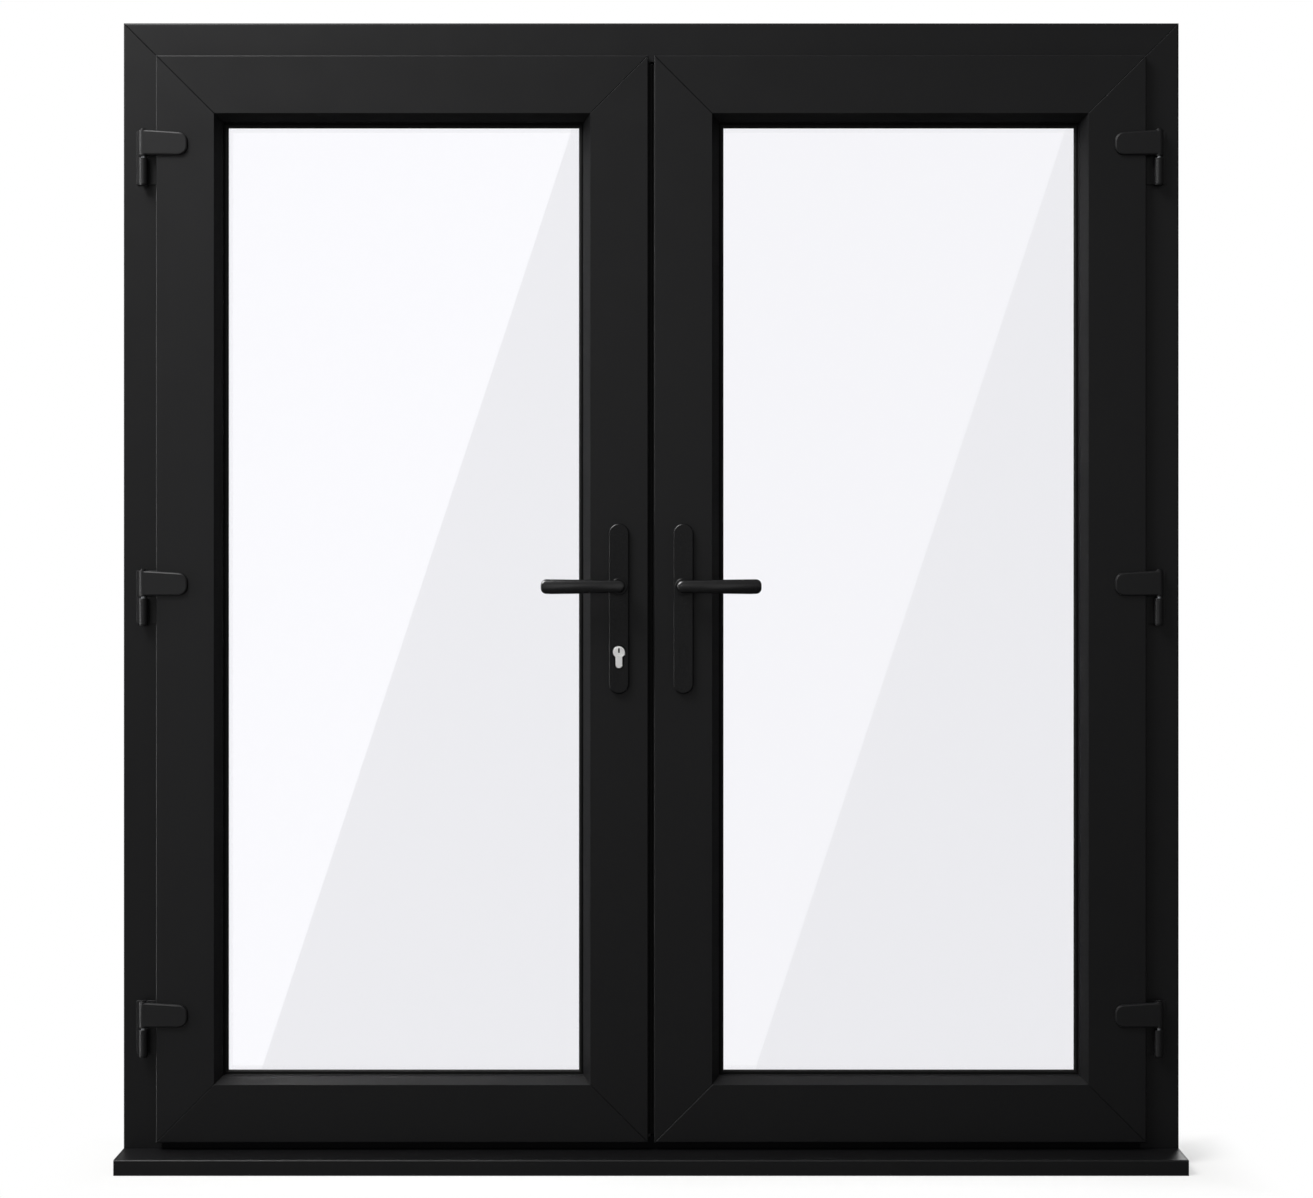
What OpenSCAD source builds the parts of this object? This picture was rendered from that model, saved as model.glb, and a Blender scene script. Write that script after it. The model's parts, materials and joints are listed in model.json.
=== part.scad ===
// French doors: two glazed leaves that open outward, hung in a mitred frame that stands on a cill.
// The outside faces -Y. Left and right are as seen from the outside.

/* [Frame] */
// Width over the frame
frame_w = 1900; // [1600:10:2400]
// Height of the frame above the cill
frame_h = 2026; // [1900:1:2300]
// Depth of the frame, outside to inside
frame_d = 70; // [68:1:80]
// Frame left showing round the leaves
frame_face = 62; // [56:1:75]
// Wall of the frame section
frame_wall = 2.8; // [2.2:0.1:3.2]
// Side of the square chamber that takes the frame steel
frame_steel = 36; // [30:1:40]
// Height of the stop that the leaves close against
stop_h = 20; // [18:1:24]
// Radius of the frame's outer front edge
frame_edge_r = 4; // [1:0.5:5]
// Width of the groove along the welded mitres
mitre_w = 1.6; // [0.8:0.2:2.4]
// Diameter of the fixing holes through jambs and head
fixing_d = 8.2; // [6:0.2:10]
// Outer fixings of a jamb: distance from its ends
fixing_in = 180; // [160:5:240]
// Inner fixings of a jamb: distance between the two
fixing_pitch = 560; // [400:10:600]

/* [Cill] */
// Height of the cill under the frame
cill_h = 30; // [26:1:40]
// Projection of the cill in front of the frame
cill_out = 80; // [50:1:120]
// Fall of the cill's top from the frame to its nose
cill_fall = 2; // [1:0.5:6]
// Height of the upstand behind the frame
cill_upstand = 25; // [15:1:35]
// Wall of the cill section
cill_wall = 2.6; // [2:0.1:3.2]
// Radius of the cill's nose
nose_r = 3; // [1:0.5:5]
// Thickness of each cill end cap
end_cap_t = 3; // [2:0.5:5]
// Depth of the drip groove under the nose
drip_d = 6; // [3:1:10]

/* [Leaves] */
// Depth of a leaf, outside to inside
leaf_d = 70; // [68:1:74]
// How far the leaves stand proud of the frame
leaf_proud = 18; // [16:1:20]
// Width of the flat outside face of a stile or rail
leaf_face = 104; // [98:1:120]
// Lap of the leaf's flange over the frame
leaf_lap = 8; // [6:1:12]
// Gap between the frame and the body of a leaf
leaf_air = 6; // [5:0.5:12]
// Thickness of the lapping flange
flange_t = 14; // [12:1:15]
// Width of the bevel beside the glass
bevel_w = 13; // [10:1:18]
// Depth of that bevel
bevel_d = 19; // [12:1:20]
// Radius of the leaf's outer edge
leaf_edge_r = 2.5; // [1:0.5:4]
// Wall of the leaf section
leaf_wall = 2.8; // [2.2:0.1:3.2]
// Width of the narrow chambers at each edge of the leaf section
edge_chamber = 8; // [6:1:10]
// Depth of the chamber behind the leaf steel
inner_chamber = 10; // [8:1:12]
// Wall of the steel reinforcement
steel_t = 1.5; // [1:0.1:2]
// Gap between the two leaves
meeting_gap = 10; // [8:0.5:12]
// Gap between the cill and the leaves
floor_gap = 14; // [12:1:20]

/* [Glazing] */
// Distance of the glass behind the outside face of the leaf
glass_set = 32; // [31:0.5:34]
// Thickness of one pane
pane_t = 4; // [3:0.5:5]
// Space between the panes
cavity = 16; // [12:1:18]
// Cover of the section over the edge of the glass
glass_cover = 16; // [14:1:18]
// Gap between the edge of the glass and the section
glass_gap = 4; // [3:0.5:6]
// Thickness of the outer gasket under the glass
gasket_t = 4; // [3:0.5:5]
// Width of the outer gasket that shows on the glass
gasket_show = 8.5; // [6:0.5:11]
// Space between glass and bead, filled by the bead's own lip
bead_gap = 3; // [2:0.5:4]
// Length of a setting block
block_l = 100; // [60:5:120]
// Distance of the spacer bar from the edge of the glass
spacer_set = 4; // [3:0.5:6]
// Width of the spacer bar
spacer_w = 7; // [6:0.5:9]
// Wall of the spacer bar
spacer_wall = 1; // [0.6:0.1:1.5]

/* [Hinges] */
// Diameter of the hinge barrels
barrel_d = 16; // [15:0.5:18]
// Length of the lower barrel
barrel_h = 45; // [40:1:60]
// Diameter of the hinge pin
hinge_pin_d = 8; // [6:0.5:9]
// Height of the flag at its knuckle
flag_h = 45; // [40:1:52]
// Drop of the flag's top edge from knuckle to tip
flag_drop = 4; // [2:0.5:8]
// Length of the flag from the pin to its tip
flag_l = 80; // [70:1:90]
// Thickness of the flag
flag_t = 6; // [5:0.5:8]
// Corner radius at the flag's tip
flag_r = 16; // [10:1:18]
// Rounding of the flag's front edge
flag_edge = 3; // [1:0.5:4]
// Distance of the pin outside the edge of the leaf
pin_out = 22.5; // [19:0.5:24]
// Thickness of the hinge plate on the frame
hinge_plate_t = 3; // [2:0.5:3.5]
// Reach of the hinge plate beyond the pin
hinge_plate_out = 15; // [14:0.5:20]
// Space between the barrel and the knuckle
knuckle_gap = 5; // [4:0.5:7]
// Wall of the bush in the knuckle
bush_t = 1.6; // [1.2:0.1:2]
// Thickness of the bush's flange under the knuckle
bush_flange = 1.5; // [1:0.1:2]
// Diameter of the cap on top of the knuckle
cap_d = 10; // [8:0.5:12]
// Height of that cap
cap_h = 2.5; // [1.5:0.5:4]
// Top hinge: distance of its joint below the top of the leaf
hinge_top_in = 182; // [150:1:260]
// Bottom hinge: distance of its joint above the foot of the leaf
hinge_bottom_in = 205; // [150:1:260]
// Middle hinge: distance of its joint below the middle of the other two
hinge_mid_drop = 8; // [0:1:40]

/* [Handles] */
// Height of the lever spindle above the foot of the leaf
spindle_up = 997; // [900:1:1050]
// Distance of the spindle from the meeting edge of the leaf
handle_in = 52.7; // [50:0.1:58]
// Width of a handle plate
plate_w = 36.5; // [34:0.5:40]
// Length of a handle plate
plate_l = 305; // [290:1:330]
// Thickness of a handle plate
plate_t = 10; // [8:0.5:12]
// Rounding of the plate's front edge
plate_edge = 3; // [1:0.5:4]
// Wall of the hollow plate
plate_wall = 3; // [2.5:0.5:4]
// Distance of the spindle below the top of the plate
plate_up = 113; // [100:1:120]
// Diameter of the collar round the lever
collar_d = 31; // [28:0.5:33]
// Height of that collar
collar_h = 3; // [2:0.5:4]
// Rounding of the collar's edge
collar_edge = 1.5; // [0.5:0.5:2]
// Diameter of the lever's neck
neck_d = 19; // [17:0.5:21]
// Distance from the leaf to the back of the lever's grip
grip_out = 40; // [36:1:50]
// Thickness of the grip
grip_t = 16; // [12:0.5:18]
// Length of the lever from its spindle to its tip
lever_l = 138; // [120:1:150]
// Height of the grip at the spindle
grip_h = 23; // [22:0.5:26]
// Height of the grip at its tip
tip_h = 26; // [24:0.5:30]
// Corner radius at the lever's tip
tip_r = 10; // [6:0.5:12]
// Rounding of the grip's edges
grip_edge = 4; // [2:0.5:5]
// Side of the square spindle
spindle_w = 8; // [7:0.5:9]
// Handle fixings: distance from the ends of the plate
screw_in = 24; // [20:1:30]
// Diameter of the handle fixing holes
screw_d = 5.5; // [5:0.5:7]

/* [Lock] */
// Distance from the spindle down to the lock cylinder
cylinder_down = 117; // [110:1:120]
// Diameter of the cylinder's round part
cylinder_d = 21; // [18:0.5:22]
// Width of the cylinder's leg
cylinder_leg_w = 12; // [10:0.5:13]
// Height of the cylinder
cylinder_h = 39; // [36:0.5:42]
// Diameter of the plug that turns
plug_d = 15; // [13:0.5:16]
// How far the cylinder stands out of the plates
cylinder_proud = 2.5; // [1:0.5:4]
// Reach of the cam
cam_r = 14.5; // [13:0.5:15]
// Width of the cam
cam_w = 9; // [7:0.5:10]
// Width of the keyway
keyway_w = 3; // [2:0.1:3.5]
// Depth of the lock case behind the edge of the leaf
case_d = 58; // [56:0.5:60]
// Thickness of the lock case
case_t = 16; // [15:0.5:18]
// Wall of the lock case
case_wall = 1.5; // [1:0.1:2]
// Width of the faceplate
faceplate_w = 20; // [18:0.5:22]
// Thickness of the faceplate
faceplate_t = 3; // [2:0.5:3.5]
// Faceplate: distance from the top and foot of the leaf
faceplate_in = 140; // [100:5:200]
// Height of the latch above the spindle
latch_up = 38; // [34:1:45]
// Height of the latch
latch_h = 18; // [14:1:20]
// Thickness of the latch and bolts
bolt_t = 11; // [9:0.5:12]
// How far the latch stands out of the faceplate
latch_out = 11.5; // [9:0.5:11.5]
// Distance of the middle bolt below the spindle
bolt_down = 55; // [50:1:60]
// Height of a bolt
bolt_h = 28; // [22:1:32]
// Distance of the upper and lower bolts from the middle bolt
bolt_pitch = 560; // [450:10:600]
// Travel of the bolts
bolt_throw = 20; // [18:0.5:21]

/* [Meeting mullion] */
// How far the mullion passes the middle of the doors
mullion_past = 2; // [1:0.5:2]
// Wall of the mullion
mullion_wall = 2.6; // [2:0.1:3]
// Gap between the ends of the mullion and the frame
mullion_end = 5; // [4.5:0.5:7]
// Thickness of the keeps let into the mullion
keep_t = 2.5; // [2:0.1:2.5]
// Diameter of the shootbolts
shootbolt_d = 9; // [7:0.5:10]
// Travel of the shootbolts
shootbolt_throw = 14; // [10:0.5:14]

/* [Clearances] */
// Space for the seal between leaf and stop
seal_gap = 4; // [3:0.5:5]
// Working clearance between pieces that move past each other
run_gap = 0.4; // [0.3:0.05:0.5]
// Radial clearance of a turning fit
turn_fit = 0.08; // [0.03:0.01:0.1]
// Clearance round pieces let into another
let_in = 0.2; // [0.1:0.05:0.4]

/* [Hidden] */
$fn = 48;

// Overshoot of every cut
over = 1;
// Colours as the doors show them
foil = "#2a2a2b";
black_metal = "#1d1d1e";
rubber = "#101011";
steel = "#b9bcc0";
glass_tint = "#e8ecef";
nylon = "#dcdcd8";

// Depths, measured from the outside face of the frame
leaf_front = -leaf_proud;
leaf_back = leaf_front + leaf_d;
leaf_mid = (leaf_front + leaf_back) / 2;
flange_back = leaf_front + flange_t;
glass_front = leaf_front + glass_set;
cavity_front = glass_front + pane_t;
cavity_back = cavity_front + cavity;
unit_back = cavity_back + pane_t;
leg_back = glass_front - gasket_t;
stop_front = leaf_back + seal_gap;

// Widths, measured inward from the edge of a leaf or of the frame
flange_w = leaf_lap + leaf_air;
sight = leaf_face + bevel_w;
pane_in = sight - glass_cover;
rebate = pane_in - glass_gap;
steel_in = flange_w + 2 * leaf_wall + edge_chamber;
steel_end = rebate - 2 * leaf_wall - edge_chamber;
steel_back = leaf_back - 2 * leaf_wall - inner_chamber;
frame_box = frame_face + leaf_lap;
frame_reach = frame_box + stop_h;

// Rectangles in the plane of the doors: left, foot, right, top
half_w = frame_w / 2;
frame_top = cill_h + frame_h;
frame_rect = [-half_w, cill_h, half_w, frame_top];
leaf_rect = [frame_face - half_w, cill_h + floor_gap, -meeting_gap / 2, frame_top - frame_face];
leaf_foot = leaf_rect[1];
leaf_top = leaf_rect[3];
threshold_top = leaf_foot + leaf_lap;
opening_rect = [frame_box - half_w, threshold_top, half_w - frame_box, frame_top - frame_box];
seal_in = stop_h / 2;
mitre_deep = frame_d + leaf_d;

// Places on the left leaf, which the right leaf mirrors
edge_x = leaf_rect[2] - flange_w;
handle_x = leaf_rect[2] - handle_in;
spindle_z = leaf_foot + spindle_up;
cylinder_z = spindle_z - cylinder_down;
cylinder_foot = cylinder_z + cylinder_d / 2 - cylinder_h;
latch_z = spindle_z + latch_up;
bolt_z = spindle_z - bolt_down;
case_margin = 10;
case_foot = cylinder_foot - case_margin;
case_top = latch_z + latch_h / 2 + case_margin;
side_case_h = bolt_h + 2 * case_margin;
face_x = edge_x + faceplate_t;
plate_foot = spindle_z + plate_up - plate_l;
plate_top = spindle_z + plate_up;
screw_z = [plate_foot + screw_in, plate_top - screw_in];
plate_front = leaf_front - plate_t;
grip_back = leaf_front - grip_out;
cylinder_front = plate_front - cylinder_proud;
neck_in = 2;

// Places of the hinges
pin_x = leaf_rect[0] - pin_out;
pin_y = leaf_front - flag_t + barrel_d / 2;
hinge_low = leaf_foot + hinge_bottom_in;
hinge_high = leaf_top - hinge_top_in;
hinge_mid = (hinge_low + hinge_high) / 2 - hinge_mid_drop;
hinge_z = [hinge_low, hinge_mid, hinge_high];
knuckle_foot = knuckle_gap / 2;
pin_floor = 6;
pin_depth = barrel_h - pin_floor;
knuckle_cap = 4;
hinge_plate_gap = 1.5;
hinge_plate_in = pin_out - hinge_plate_gap;

// Places of the mullion, on the right leaf's own mirror side
mullion_x0 = edge_x;
mullion_x1 = mullion_past;
mullion_set = 6;
mullion_front = flange_back + mullion_set;
mullion_foot = threshold_top + mullion_end;
mullion_top = frame_top - frame_box - mullion_end;
shootbolt_side = 2;
shootbolt_x = mullion_x0 + mullion_wall + shootbolt_side + shootbolt_d / 2;
shootbolt_set = 1;
keep_gap = 2;
keep_side = 4;
keep_end = 8;
latch_keep_end = 6;
latch_pocket = 1;
lug_h = 12;
lug_t = 8;
lug_in = 14;
lug_z = 36;
gearbox_half = lug_z + lug_h / 2 + shootbolt_throw + case_margin;

// Gaps round the cylinder, in the leaf and in the plates
euro_gap = 0.6;
plate_euro_gap = 2.5;
boss_wall = 1.5;
core_edge = 1;
neck_air = 1;
hub_r = 9;

// Points of an arc about c
function arc(c, r, from, to, n = 6) =
  [for (i = [0 : n]) let (a = from + (to - from) * i / n) c + r * [cos(a), sin(a)]];

// Corner rectangle between two opposite corners
module box2(a, b) {
  translate(a) square(b - a);
}

module box3(a, b) {
  translate(a) cube(b - a);
}

// A shape drawn in the plane of the doors, filled from depth y0 to y1
module span_y(y0, y1) {
  translate([0, y1, 0]) rotate([90, 0, 0]) linear_extrude(y1 - y0) children();
}

// A cylinder along the depth of the doors
module rod_y(x, z, r, y0, y1) {
  translate([x, y0, z]) rotate([-90, 0, 0]) cylinder(h = y1 - y0, r = r);
}

// The right leaf is the mirror image of the left one
module on_right() {
  mirror([1, 0, 0]) children();
}

// The inside of a leaf is the mirror image of its outside
module on_inside() {
  translate([0, 2 * leaf_mid, 0]) mirror([0, 1, 0]) children();
}

// One side of a rectangle swept by a section: 0 left, 1 right, 2 foot, 3 top.
// The section has its outer edge at x = 0 and its depth along y.
module run(side, rect) {
  w = rect[2] - rect[0];
  h = rect[3] - rect[1];
  if (side == 0) translate([rect[0], 0, rect[1]]) linear_extrude(h) children();
  if (side == 1) translate([rect[2], 0, rect[1]]) mirror([1, 0, 0]) linear_extrude(h) children();
  if (side == 2) translate([rect[2], 0, rect[1]]) rotate([0, -90, 0]) linear_extrude(w) children();
  if (side == 3) translate([rect[2], 0, rect[3]]) mirror([0, 0, 1])
    rotate([0, -90, 0]) linear_extrude(w) children();
}

// Outline between the two mitres of that side, or with a square foot on an upright
function wedge(side, r, reach, foot) =
  let (up = foot ? -over : reach)
  side == 0 ? [[r[0] - over, r[1] - over], [r[0] - over, r[3] + over],
               [r[0] + reach, r[3] - reach], [r[0] + reach, r[1] + up]] :
  side == 1 ? [[r[2] + over, r[1] - over], [r[2] + over, r[3] + over],
               [r[2] - reach, r[3] - reach], [r[2] - reach, r[1] + up]] :
  side == 2 ? [[r[0] - over, r[1] - over], [r[2] + over, r[1] - over],
               [r[2] - reach, r[1] + reach], [r[0] + reach, r[1] + reach]] :
              [[r[0] - over, r[3] + over], [r[2] + over, r[3] + over],
               [r[2] - reach, r[3] - reach], [r[0] + reach, r[3] - reach]];

// Vee grooves along the mitres of a rectangle, cut into the face at depth y, with or without its feet
module mitre_grooves(rect, reach, y, feet) {
  side = mitre_w / sqrt(2);
  tops = [[rect[0], rect[3], 45], [rect[2], rect[3], 135]];
  foots = [[rect[0], rect[1], -45], [rect[2], rect[1], -135]];
  for (c = feet ? concat(tops, foots) : tops)
    translate([c[0], y, c[1]]) rotate([0, c[2], 0]) rotate([45, 0, 0])
      box3([-over, -side / 2, -side / 2], [(reach + mitre_w) * sqrt(2), side / 2, side / 2]);
}

module mitred(side, rect, reach, foot = false) {
  intersection() {
    union() run(side, rect) children();
    span_y(-mitre_deep, mitre_deep) polygon(wedge(side, rect, reach, foot));
  }
}

module ring(rect, reach) {
  for (side = [0 : 3]) mitred(side, rect, reach) children();
}

// Section of the frame: a chambered box with a stop on its inner side
module frame_section() {
  a = (frame_box - frame_steel) / 2;
  b = (frame_d - frame_steel) / 2;
  w = frame_wall;
  difference() {
    polygon(concat(arc([frame_edge_r, frame_edge_r], frame_edge_r, 180, 270), [
      [frame_box, 0], [frame_box, stop_front], [frame_reach, stop_front],
      [frame_reach, frame_d], [0, frame_d]]));
    box2([a, b], [a + frame_steel, b + frame_steel]);
    box2([w, w], [a - w, frame_d - w]);
    box2([a + frame_steel + w, w], [frame_box - w, frame_d - w]);
    box2([a, w], [a + frame_steel, b - w]);
    box2([a, b + frame_steel + w], [a + frame_steel, frame_d - w]);
    box2([frame_box + w, stop_front + w], [frame_reach - w, frame_d - w]);
  }
}

// Section of a stile or rail: lapping flange, chambered body, bevelled leg over the glass
module leaf_section() {
  w = leaf_wall;
  difference() {
    polygon(concat(arc([leaf_edge_r, leaf_front + leaf_edge_r], leaf_edge_r, 180, 270), [
      [leaf_face, leaf_front], [sight, leaf_front + bevel_d], [sight, leg_back],
      [rebate, leg_back], [rebate, leaf_back], [flange_w, leaf_back],
      [flange_w, flange_back], [0, flange_back]]));
    box2([w, leaf_front + w], [leaf_face - w, flange_back - w]);
    box2([rebate + w, leaf_front + bevel_d], [sight - w, leg_back - w]);
    box2([flange_w + w, flange_back], [flange_w + w + edge_chamber, leaf_back - w]);
    box2([steel_in, flange_back], [steel_end, steel_back]);
    box2([steel_in, steel_back + w], [steel_end, leaf_back - w]);
    box2([steel_end + w, flange_back], [rebate - w, leaf_back - w]);
  }
}

module leaf_member(side) {
  difference() {
    mitred(side, leaf_rect, sight + over) leaf_section();
    mitre_grooves(leaf_rect, leaf_face, leaf_front, true);
  }
}

module tube_section(a, b, t) {
  difference() {
    box2(a, b);
    box2(a + [t, t], b - [t, t]);
  }
}

// Outline of the lock cylinder, grown by g
module euro_outline(g) {
  leg_r = cylinder_leg_w / 2;
  translate([handle_x, cylinder_z]) circle(r = cylinder_d / 2 + g);
  translate([handle_x, cylinder_foot + leg_r]) circle(r = leg_r + g);
  box2([handle_x - leg_r - g, cylinder_foot + leg_r], [handle_x + leg_r + g, cylinder_z]);
}

// Holes that the handles need through a meeting stile
module handle_holes(with_cylinder) {
  y0 = leaf_front - over;
  y1 = leaf_back + over;
  rod_y(handle_x, spindle_z, neck_d / 2 + neck_air, y0, y1);
  for (z = screw_z) rod_y(handle_x, z, screw_d / 2, y0, y1);
  if (with_cylinder) span_y(y0, y1) euro_outline(euro_gap);
}

// Pocket for a case that is let in from the edge of the leaf
module case_pocket(foot, top) {
  half = case_t / 2 + let_in;
  box3([edge_x - case_d - let_in, leaf_mid - half, foot - let_in],
       [edge_x + over, leaf_mid + half, top + let_in]);
}

module lock_pockets() {
  case_pocket(case_foot, case_top);
  for (s = [-1, 1]) {
    z = bolt_z + s * bolt_pitch;
    case_pocket(z - side_case_h / 2, z + side_case_h / 2);
  }
}

module gearbox_pocket() {
  case_pocket(spindle_z - gearbox_half, spindle_z + gearbox_half);
}

// Cill: a hollow section with a sloping top, a drip groove and an upstand behind the frame
function cill_top(y) = cill_h + cill_fall * min(y, 0) / cill_out;

module cill_outline() {
  front = -cill_out;
  back = frame_d + cill_wall;
  nose = cill_top(front);
  drip = front + 3 * cill_wall;
  polygon(concat(arc([front + nose_r, nose - nose_r], nose_r, 180, 90), [
    [0, cill_h], [frame_d, cill_h], [frame_d, cill_h + cill_upstand], [back, cill_h + cill_upstand],
    [back, 0], [drip + 2 * drip_d, 0], [drip + 2 * drip_d, drip_d], [drip, drip_d], [drip, 0],
    [front, 0]]));
}

module cill_chamber(y0, y1, foot) {
  w = cill_wall;
  polygon([[y0, foot + w], [y1, foot + w], [y1, cill_top(y1) - w], [y0, cill_top(y0) - w]]);
}

module along_x(half) {
  translate([-half, 0, 0]) rotate([90, 0, 90]) linear_extrude(2 * half) children();
}

module cill() {
  w = cill_wall;
  drip_end = 3 * w + 2 * drip_d - cill_out;
  color(foil) along_x(half_w - end_cap_t) difference() {
    cill_outline();
    cill_chamber(w + nose_r - cill_out, drip_end + w, drip_d);
    cill_chamber(drip_end + 2 * w, -w, 0);
    cill_chamber(0, frame_d / 2 - w, 0);
    cill_chamber(frame_d / 2, frame_d - w, 0);
  }
}

module cill_end_caps() {
  color(foil) for (s = [0, 1]) mirror([s, 0, 0])
    translate([half_w - end_cap_t, 0, 0]) rotate([90, 0, 90]) linear_extrude(end_cap_t) cill_outline();
}

// Fixing holes along X, seen on the left jamb
jamb_fixings = [cill_h + fixing_in, (cill_h + frame_top - fixing_pitch) / 2,
                (cill_h + frame_top + fixing_pitch) / 2, frame_top - fixing_in];
head_fixing_x = half_w / 2;

module jamb_drills() {
  for (z = jamb_fixings) translate([-half_w - over, frame_d / 2, z])
    rotate([0, 90, 0]) cylinder(h = frame_box + 2 * over, d = fixing_d);
}

module head_drills() {
  for (s = [-1, 1]) translate([s * head_fixing_x, frame_d / 2, frame_top - frame_box - over])
    cylinder(h = frame_box + 2 * over, d = fixing_d);
}

module jamb() {
  color(foil) difference() {
    mitred(0, frame_rect, frame_reach + over, true) frame_section();
    mitre_grooves(frame_rect, frame_box, 0, false);
    jamb_drills();
  }
}

module frame_left_jamb() {
  jamb();
}

module frame_right_jamb() {
  on_right() jamb();
}

// Places where the shootbolts enter the frame
module shootbolt_holes(foot, top) {
  translate([-shootbolt_x, leaf_mid, foot]) cylinder(h = top - foot, d = shootbolt_d + 2 * run_gap);
}

module frame_head() {
  color(foil) difference() {
    mitred(3, frame_rect, frame_reach + over) frame_section();
    mitre_grooves(frame_rect, frame_box, 0, false);
    head_drills();
    shootbolt_holes(frame_top - frame_box - over, frame_top - frame_box + frame_wall + over);
  }
}

// Low threshold of extruded aluminium between the jambs, with the same stop as the frame
module threshold() {
  w = frame_wall;
  z0 = cill_h;
  z1 = threshold_top;
  color(black_metal) difference() {
    along_x(half_w - frame_box) difference() {
      union() {
        box2([0, z0], [frame_d, z1]);
        box2([stop_front, z0], [frame_d, z1 + stop_h]);
      }
      box2([w, z0 + w], [frame_d / 2 - w, z1 - w]);
      box2([frame_d / 2, z0 + w], [stop_front - w, z1 - w]);
      box2([stop_front + w, z1], [frame_d - w, z1 + stop_h - w]);
    }
    for (s = [0, 1]) mirror([s, 0, 0])
      box3([half_w - frame_reach, stop_front, z0 - over], [half_w, frame_d + over, z1 + stop_h + over]);
    shootbolt_holes(z1 - w - over, z1 + over);
  }
}

// Square steel tubes inside the jambs and head
module frame_steels() {
  a = (frame_box - frame_steel) / 2 + let_in;
  b = (frame_d - frame_steel) / 2 + let_in;
  side = frame_steel - 2 * let_in;
  inset = frame_box;
  color(steel) {
    for (s = [0, 1]) mirror([s, 0, 0]) difference() {
      translate([-half_w, 0, cill_h + inset / 2]) linear_extrude(frame_h - 1.5 * inset)
        tube_section([a, b], [a + side, b + side], steel_t);
      jamb_drills();
    }
    difference() {
      translate([half_w - inset, 0, frame_top]) mirror([0, 0, 1]) rotate([0, -90, 0])
        linear_extrude(frame_w - 2 * inset) tube_section([a, b], [a + side, b + side], steel_t);
      head_drills();
    }
  }
}

// Bubble seal on the face of the stop, all round the opening
module frame_seal() {
  r = (seal_gap - run_gap) / 2;
  rect = opening_rect + [seal_in, seal_in, -seal_in, -seal_in];
  color(rubber) ring(rect, 4 * r) union() {
    box2([0, stop_front - r], [2 * r, stop_front]);
    translate([r, stop_front - r]) circle(r = r);
  }
}

// Hinge pieces at one joint height, on the left side
module hinge_barrel(z) {
  web = barrel_d * 0.7;
  translate([pin_x, 0, z - knuckle_foot]) difference() {
    union() {
      translate([0, pin_y, -barrel_h]) cylinder(h = barrel_h, d = barrel_d);
      translate([0, pin_y, -barrel_h]) intersection() {
        sphere(d = barrel_d);
        box3([-barrel_d, -barrel_d, -barrel_d / 4], [barrel_d, barrel_d, 0]);
      }
      box3([-web / 2, pin_y, -barrel_h], [web / 2, -hinge_plate_t / 2, 0]);
      box3([-hinge_plate_out, -hinge_plate_t, -barrel_h],
           [hinge_plate_in, 0, knuckle_gap + flag_h]);
    }
    translate([0, pin_y, -pin_depth]) cylinder(h = pin_depth + over, d = hinge_pin_d);
  }
}

// Flag of a hinge: a rounded plate on the leaf's face with a knuckle round the pin
module flag_outline(grow) {
  z1 = flag_h;
  z2 = flag_h - flag_drop;
  r = flag_r;
  g = grow;
  polygon(concat([[0, -g], [0, z1 + g]],
    arc([flag_l - r, z2 - r], r + g, 90, 0), arc([flag_l - r, r], r + g, 0, -90)));
}

module hinge_flag(z) {
  lift = flag_t - flag_edge;
  bore = hinge_pin_d / 2 + turn_fit + bush_t;
  translate([pin_x, 0, z + knuckle_foot]) difference() {
    union() {
      translate([0, pin_y, 0]) cylinder(h = flag_h, d = barrel_d);
      translate([0, pin_y, flag_h - over]) cylinder(h = cap_h + over, d = cap_d);
      hull() {
        span_y(leaf_front - lift, leaf_front) flag_outline(0);
        span_y(leaf_front - flag_t + flag_edge * 0.3, leaf_front) flag_outline(-flag_edge * 0.3);
        span_y(leaf_front - flag_t, leaf_front) flag_outline(-flag_edge);
      }
    }
    translate([0, pin_y, -over]) cylinder(h = flag_h - knuckle_cap + over, r = bore);
  }
}

module hinge_bush(z) {
  bore = hinge_pin_d / 2 + turn_fit;
  translate([pin_x, pin_y, z + knuckle_foot - bush_flange]) difference() {
    union() {
      cylinder(h = bush_flange, r = bore + 2 * bush_t);
      cylinder(h = bush_flange + flag_h - knuckle_cap, r = bore + bush_t);
    }
    translate([0, 0, -over]) cylinder(h = bush_flange + flag_h + over, r = bore);
  }
}

module hinge_pin(z) {
  translate([pin_x, pin_y, z - knuckle_foot - pin_depth])
    cylinder(h = pin_depth + knuckle_gap + flag_h - knuckle_cap - run_gap, d = hinge_pin_d);
}

module left_hinge_barrels() {
  color(black_metal) for (z = hinge_z) hinge_barrel(z);
}

module right_hinge_barrels() {
  on_right() left_hinge_barrels();
}

module hinge_pins() {
  color(steel) for (z = hinge_z) {
    hinge_pin(z);
    on_right() hinge_pin(z);
  }
}

module left_hinge_flags() {
  color(black_metal) for (z = hinge_z) hinge_flag(z);
}

module right_hinge_flags() {
  on_right() left_hinge_flags();
}

module left_hinge_bushes() {
  color(rubber) for (z = hinge_z) hinge_bush(z);
}

module right_hinge_bushes() {
  on_right() left_hinge_bushes();
}

// Plates on head and threshold that the shootbolts pass through
module shootbolt_keeps() {
  half = shootbolt_d + keep_gap;
  t = mullion_end - keep_gap;
  color(steel) difference() {
    for (z = [threshold_top, frame_top - frame_box - t])
      box3([-shootbolt_x - half, leaf_mid - half, z], [-shootbolt_x + half, leaf_mid + half, z + t]);
    shootbolt_holes(0, frame_top);
  }
}

// Stiles and rails
module left_hinge_stile() {
  color(foil) leaf_member(0);
}

module left_meeting_stile() {
  color(foil) difference() {
    leaf_member(1);
    lock_pockets();
    handle_holes(true);
  }
}

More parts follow.
